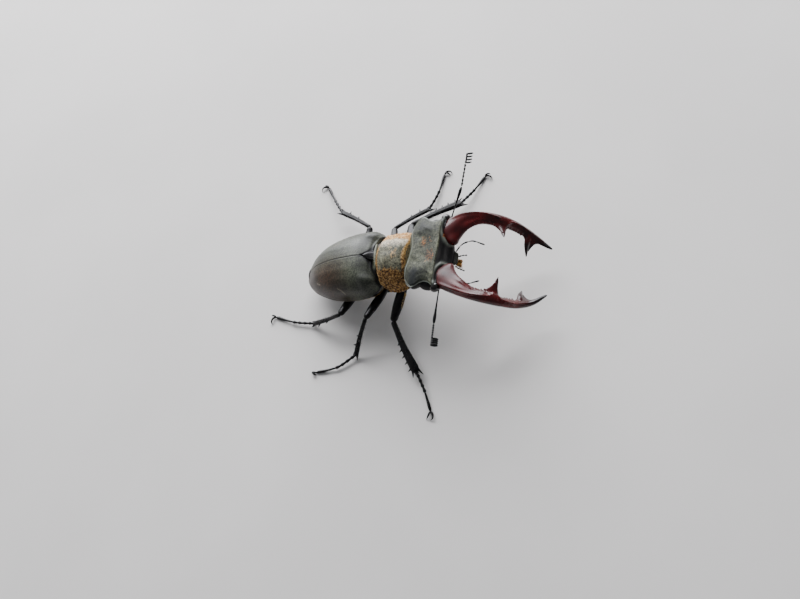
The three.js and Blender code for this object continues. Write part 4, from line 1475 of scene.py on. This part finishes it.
def mouth_brush():
    """The tongue's two tufts of orange bristles, curved together over the mouth."""
    count = 420
    side = rng.choice([-1, 1], count)
    roots = np.stack(
        [
            11.5 + rng.uniform(-0.2, 0.5, count),
            -0.4 + side * rng.uniform(0.1, 0.75, count),
            -2.8 + rng.uniform(-0.35, 0.3, count),
        ],
        axis=-1,
    )
    ways = np.stack([np.full(count, 1.0), 0.5 + side * 0.25, rng.uniform(0.0, 0.35, count)], axis=-1)
    ways += rng.normal(size=(count, 3)) * 0.09
    sag = np.stack([np.full(count, -0.35), np.full(count, -1.0), np.zeros(count)], axis=-1)
    homes = np.stack([roots[:, 0] - 11.3, (roots[:, 1] + 1.4) / 2.2], axis=-1) * 0.8 + 0.1
    roots, ways, sag = placed(HEAD, roots), turned(HEAD, ways), turned(HEAD, sag)
    lengths = rng.uniform(1.1, 1.9, count)
    hairs("mouth_bristles", BRUSH_HAIR, "mouth_brush", roots, ways, sag, lengths, 0.05, homes)


mouth_brush()


def brush_base():
    """The two pads that the tongue's bristles grow from."""
    radii = (0.85, 0.55, 0.42)
    return together(*(ball((11.9, -0.4 + side * 0.45, -2.85), radii, 20, 28) for _, side in SIDES))


finished("brush_base", brush_base(), HEAD, BRUSH_HAIR, "mouth_brush", "mouth_brush")


def leg_bristles():
    """Rows of stiff black bristles along the shins, and a golden patch on the front of each front thigh."""
    black, golden = [], []
    for label, (hip, knee, ankle) in LEG_PLACES.items():
        pair, name = label.split("_")
        shin = LEGS[pair][5]
        axis = unit(ankle - knee)
        side = unit(np.cross((0, 0, 1.0), axis))
        over = np.cross(axis, side)
        shares = rng.uniform(0.1, 0.98, 90)
        turns = rng.uniform(0, 2 * math.pi, 90)
        for share, turn in zip(shares, turns):
            out = side * math.cos(turn) + over * math.sin(turn) * 0.85
            root = knee + (ankle - knee) * share + out * shin * 0.9
            black.append((root, out * 0.7 + axis * 0.9, (turn / (2 * math.pi), share)))
        if pair == "front":
            axis = unit(knee - hip)
            front = unit(np.array([axis[1], -axis[0], 0]) * (1 if name == "left" else -1))
            for share, turn in zip(rng.uniform(0.25, 0.62, 260), rng.uniform(-0.5, 0.5, 260)):
                out = unit(front * math.cos(turn) + np.array([0, 0, 1.0]) * math.sin(turn))
                root = hip + (knee - hip) * share + out * LEGS[pair][4] * 0.93
                golden.append((root, out * 0.35 + axis * 0.9, (0.5 + turn / 4, share)))
    kinds = (("shin_bristles", BLACK_HAIR, black, 0.3), ("thigh_patches", GOLD_HAIR, golden, 0.35))
    for name, finish, grown, shortest in kinds:
        roots, ways, homes = (np.array(column) for column in zip(*grown))
        lengths = rng.uniform(shortest, 0.6, len(roots))
        hairs(name, finish, "leg", placed(STAND, roots), ways, 0 * ways, lengths, 0.03, homes)


leg_bristles()

# ---- Floor, light and camera -----------------------------------------------------------


def floor():
    """A level floor in matt off-white paint, a little uneven."""
    made, tree, place = material("floor_paint")
    colour = tones(tree, noise(tree, place, 50, 3), (0.4, "e6e3df"), (0.6, "eae7e3"))
    surface(tree, {"Base Color": colour, "Roughness": 0.9})
    bm = bmesh.new()
    bmesh.ops.create_grid(bm, x_segments=1, y_segments=1, size=3)
    mesh = bpy.data.meshes.new("floor")
    bm.to_mesh(mesh)
    bm.free()
    mesh.materials.append(made)
    ground = linked("floor", mesh)


floor()

LIGHT_AIM = (0, 0, 0.01)


def softbox(name, place, size, energy, colour):
    """A soft rectangular light that faces the beetle."""
    light = bpy.data.lights.new(name, "AREA")
    light.shape = "RECTANGLE"
    light.size, light.size_y = size
    light.energy = energy
    light.color = linear(colour)[:3]
    lamp = linked(name, light)
    lamp.location = place
    lamp.rotation_euler = (Vector(LIGHT_AIM) - Vector(place)).to_track_quat("-Z", "Y").to_euler()


softbox("sky_far", (-0.16, 0.5, 0.27), (0.75, 0.5), 14.0, "f6f7fc")
softbox("sky_high", (-0.35, 0.1, 0.6), (0.7, 0.7), 0.5, "fbfaff")

world = bpy.data.worlds.new("studio")
world.use_nodes = True
sky = world.node_tree.nodes["Background"].inputs
sky["Color"].default_value = linear("e6ebf2")
sky["Strength"].default_value = 0.2
scene.world = world

CAMERA_PLACE = Vector((79.96, -92.25, 196.46)) * MM
CAMERA_FORWARD = Vector((-0.3544, 0.3821, -0.8535))
CAMERA_ROLL = -36.71
SENSOR = 36.0
FOCAL_PIXELS = 861.6
IMAGE_WIDTH = 800

camera = linked("camera", bpy.data.cameras.new("camera"))
camera.data.sensor_fit = "HORIZONTAL"
camera.data.sensor_width = SENSOR
camera.data.lens = FOCAL_PIXELS / IMAGE_WIDTH * SENSOR
camera.data.clip_start = 0.01
camera.location = CAMERA_PLACE
camera.rotation_mode = "QUATERNION"
level = CAMERA_FORWARD.to_track_quat("-Z", "Y")
camera.rotation_quaternion = level @ Quaternion((0, 0, 1), math.radians(CAMERA_ROLL))
scene.camera = camera
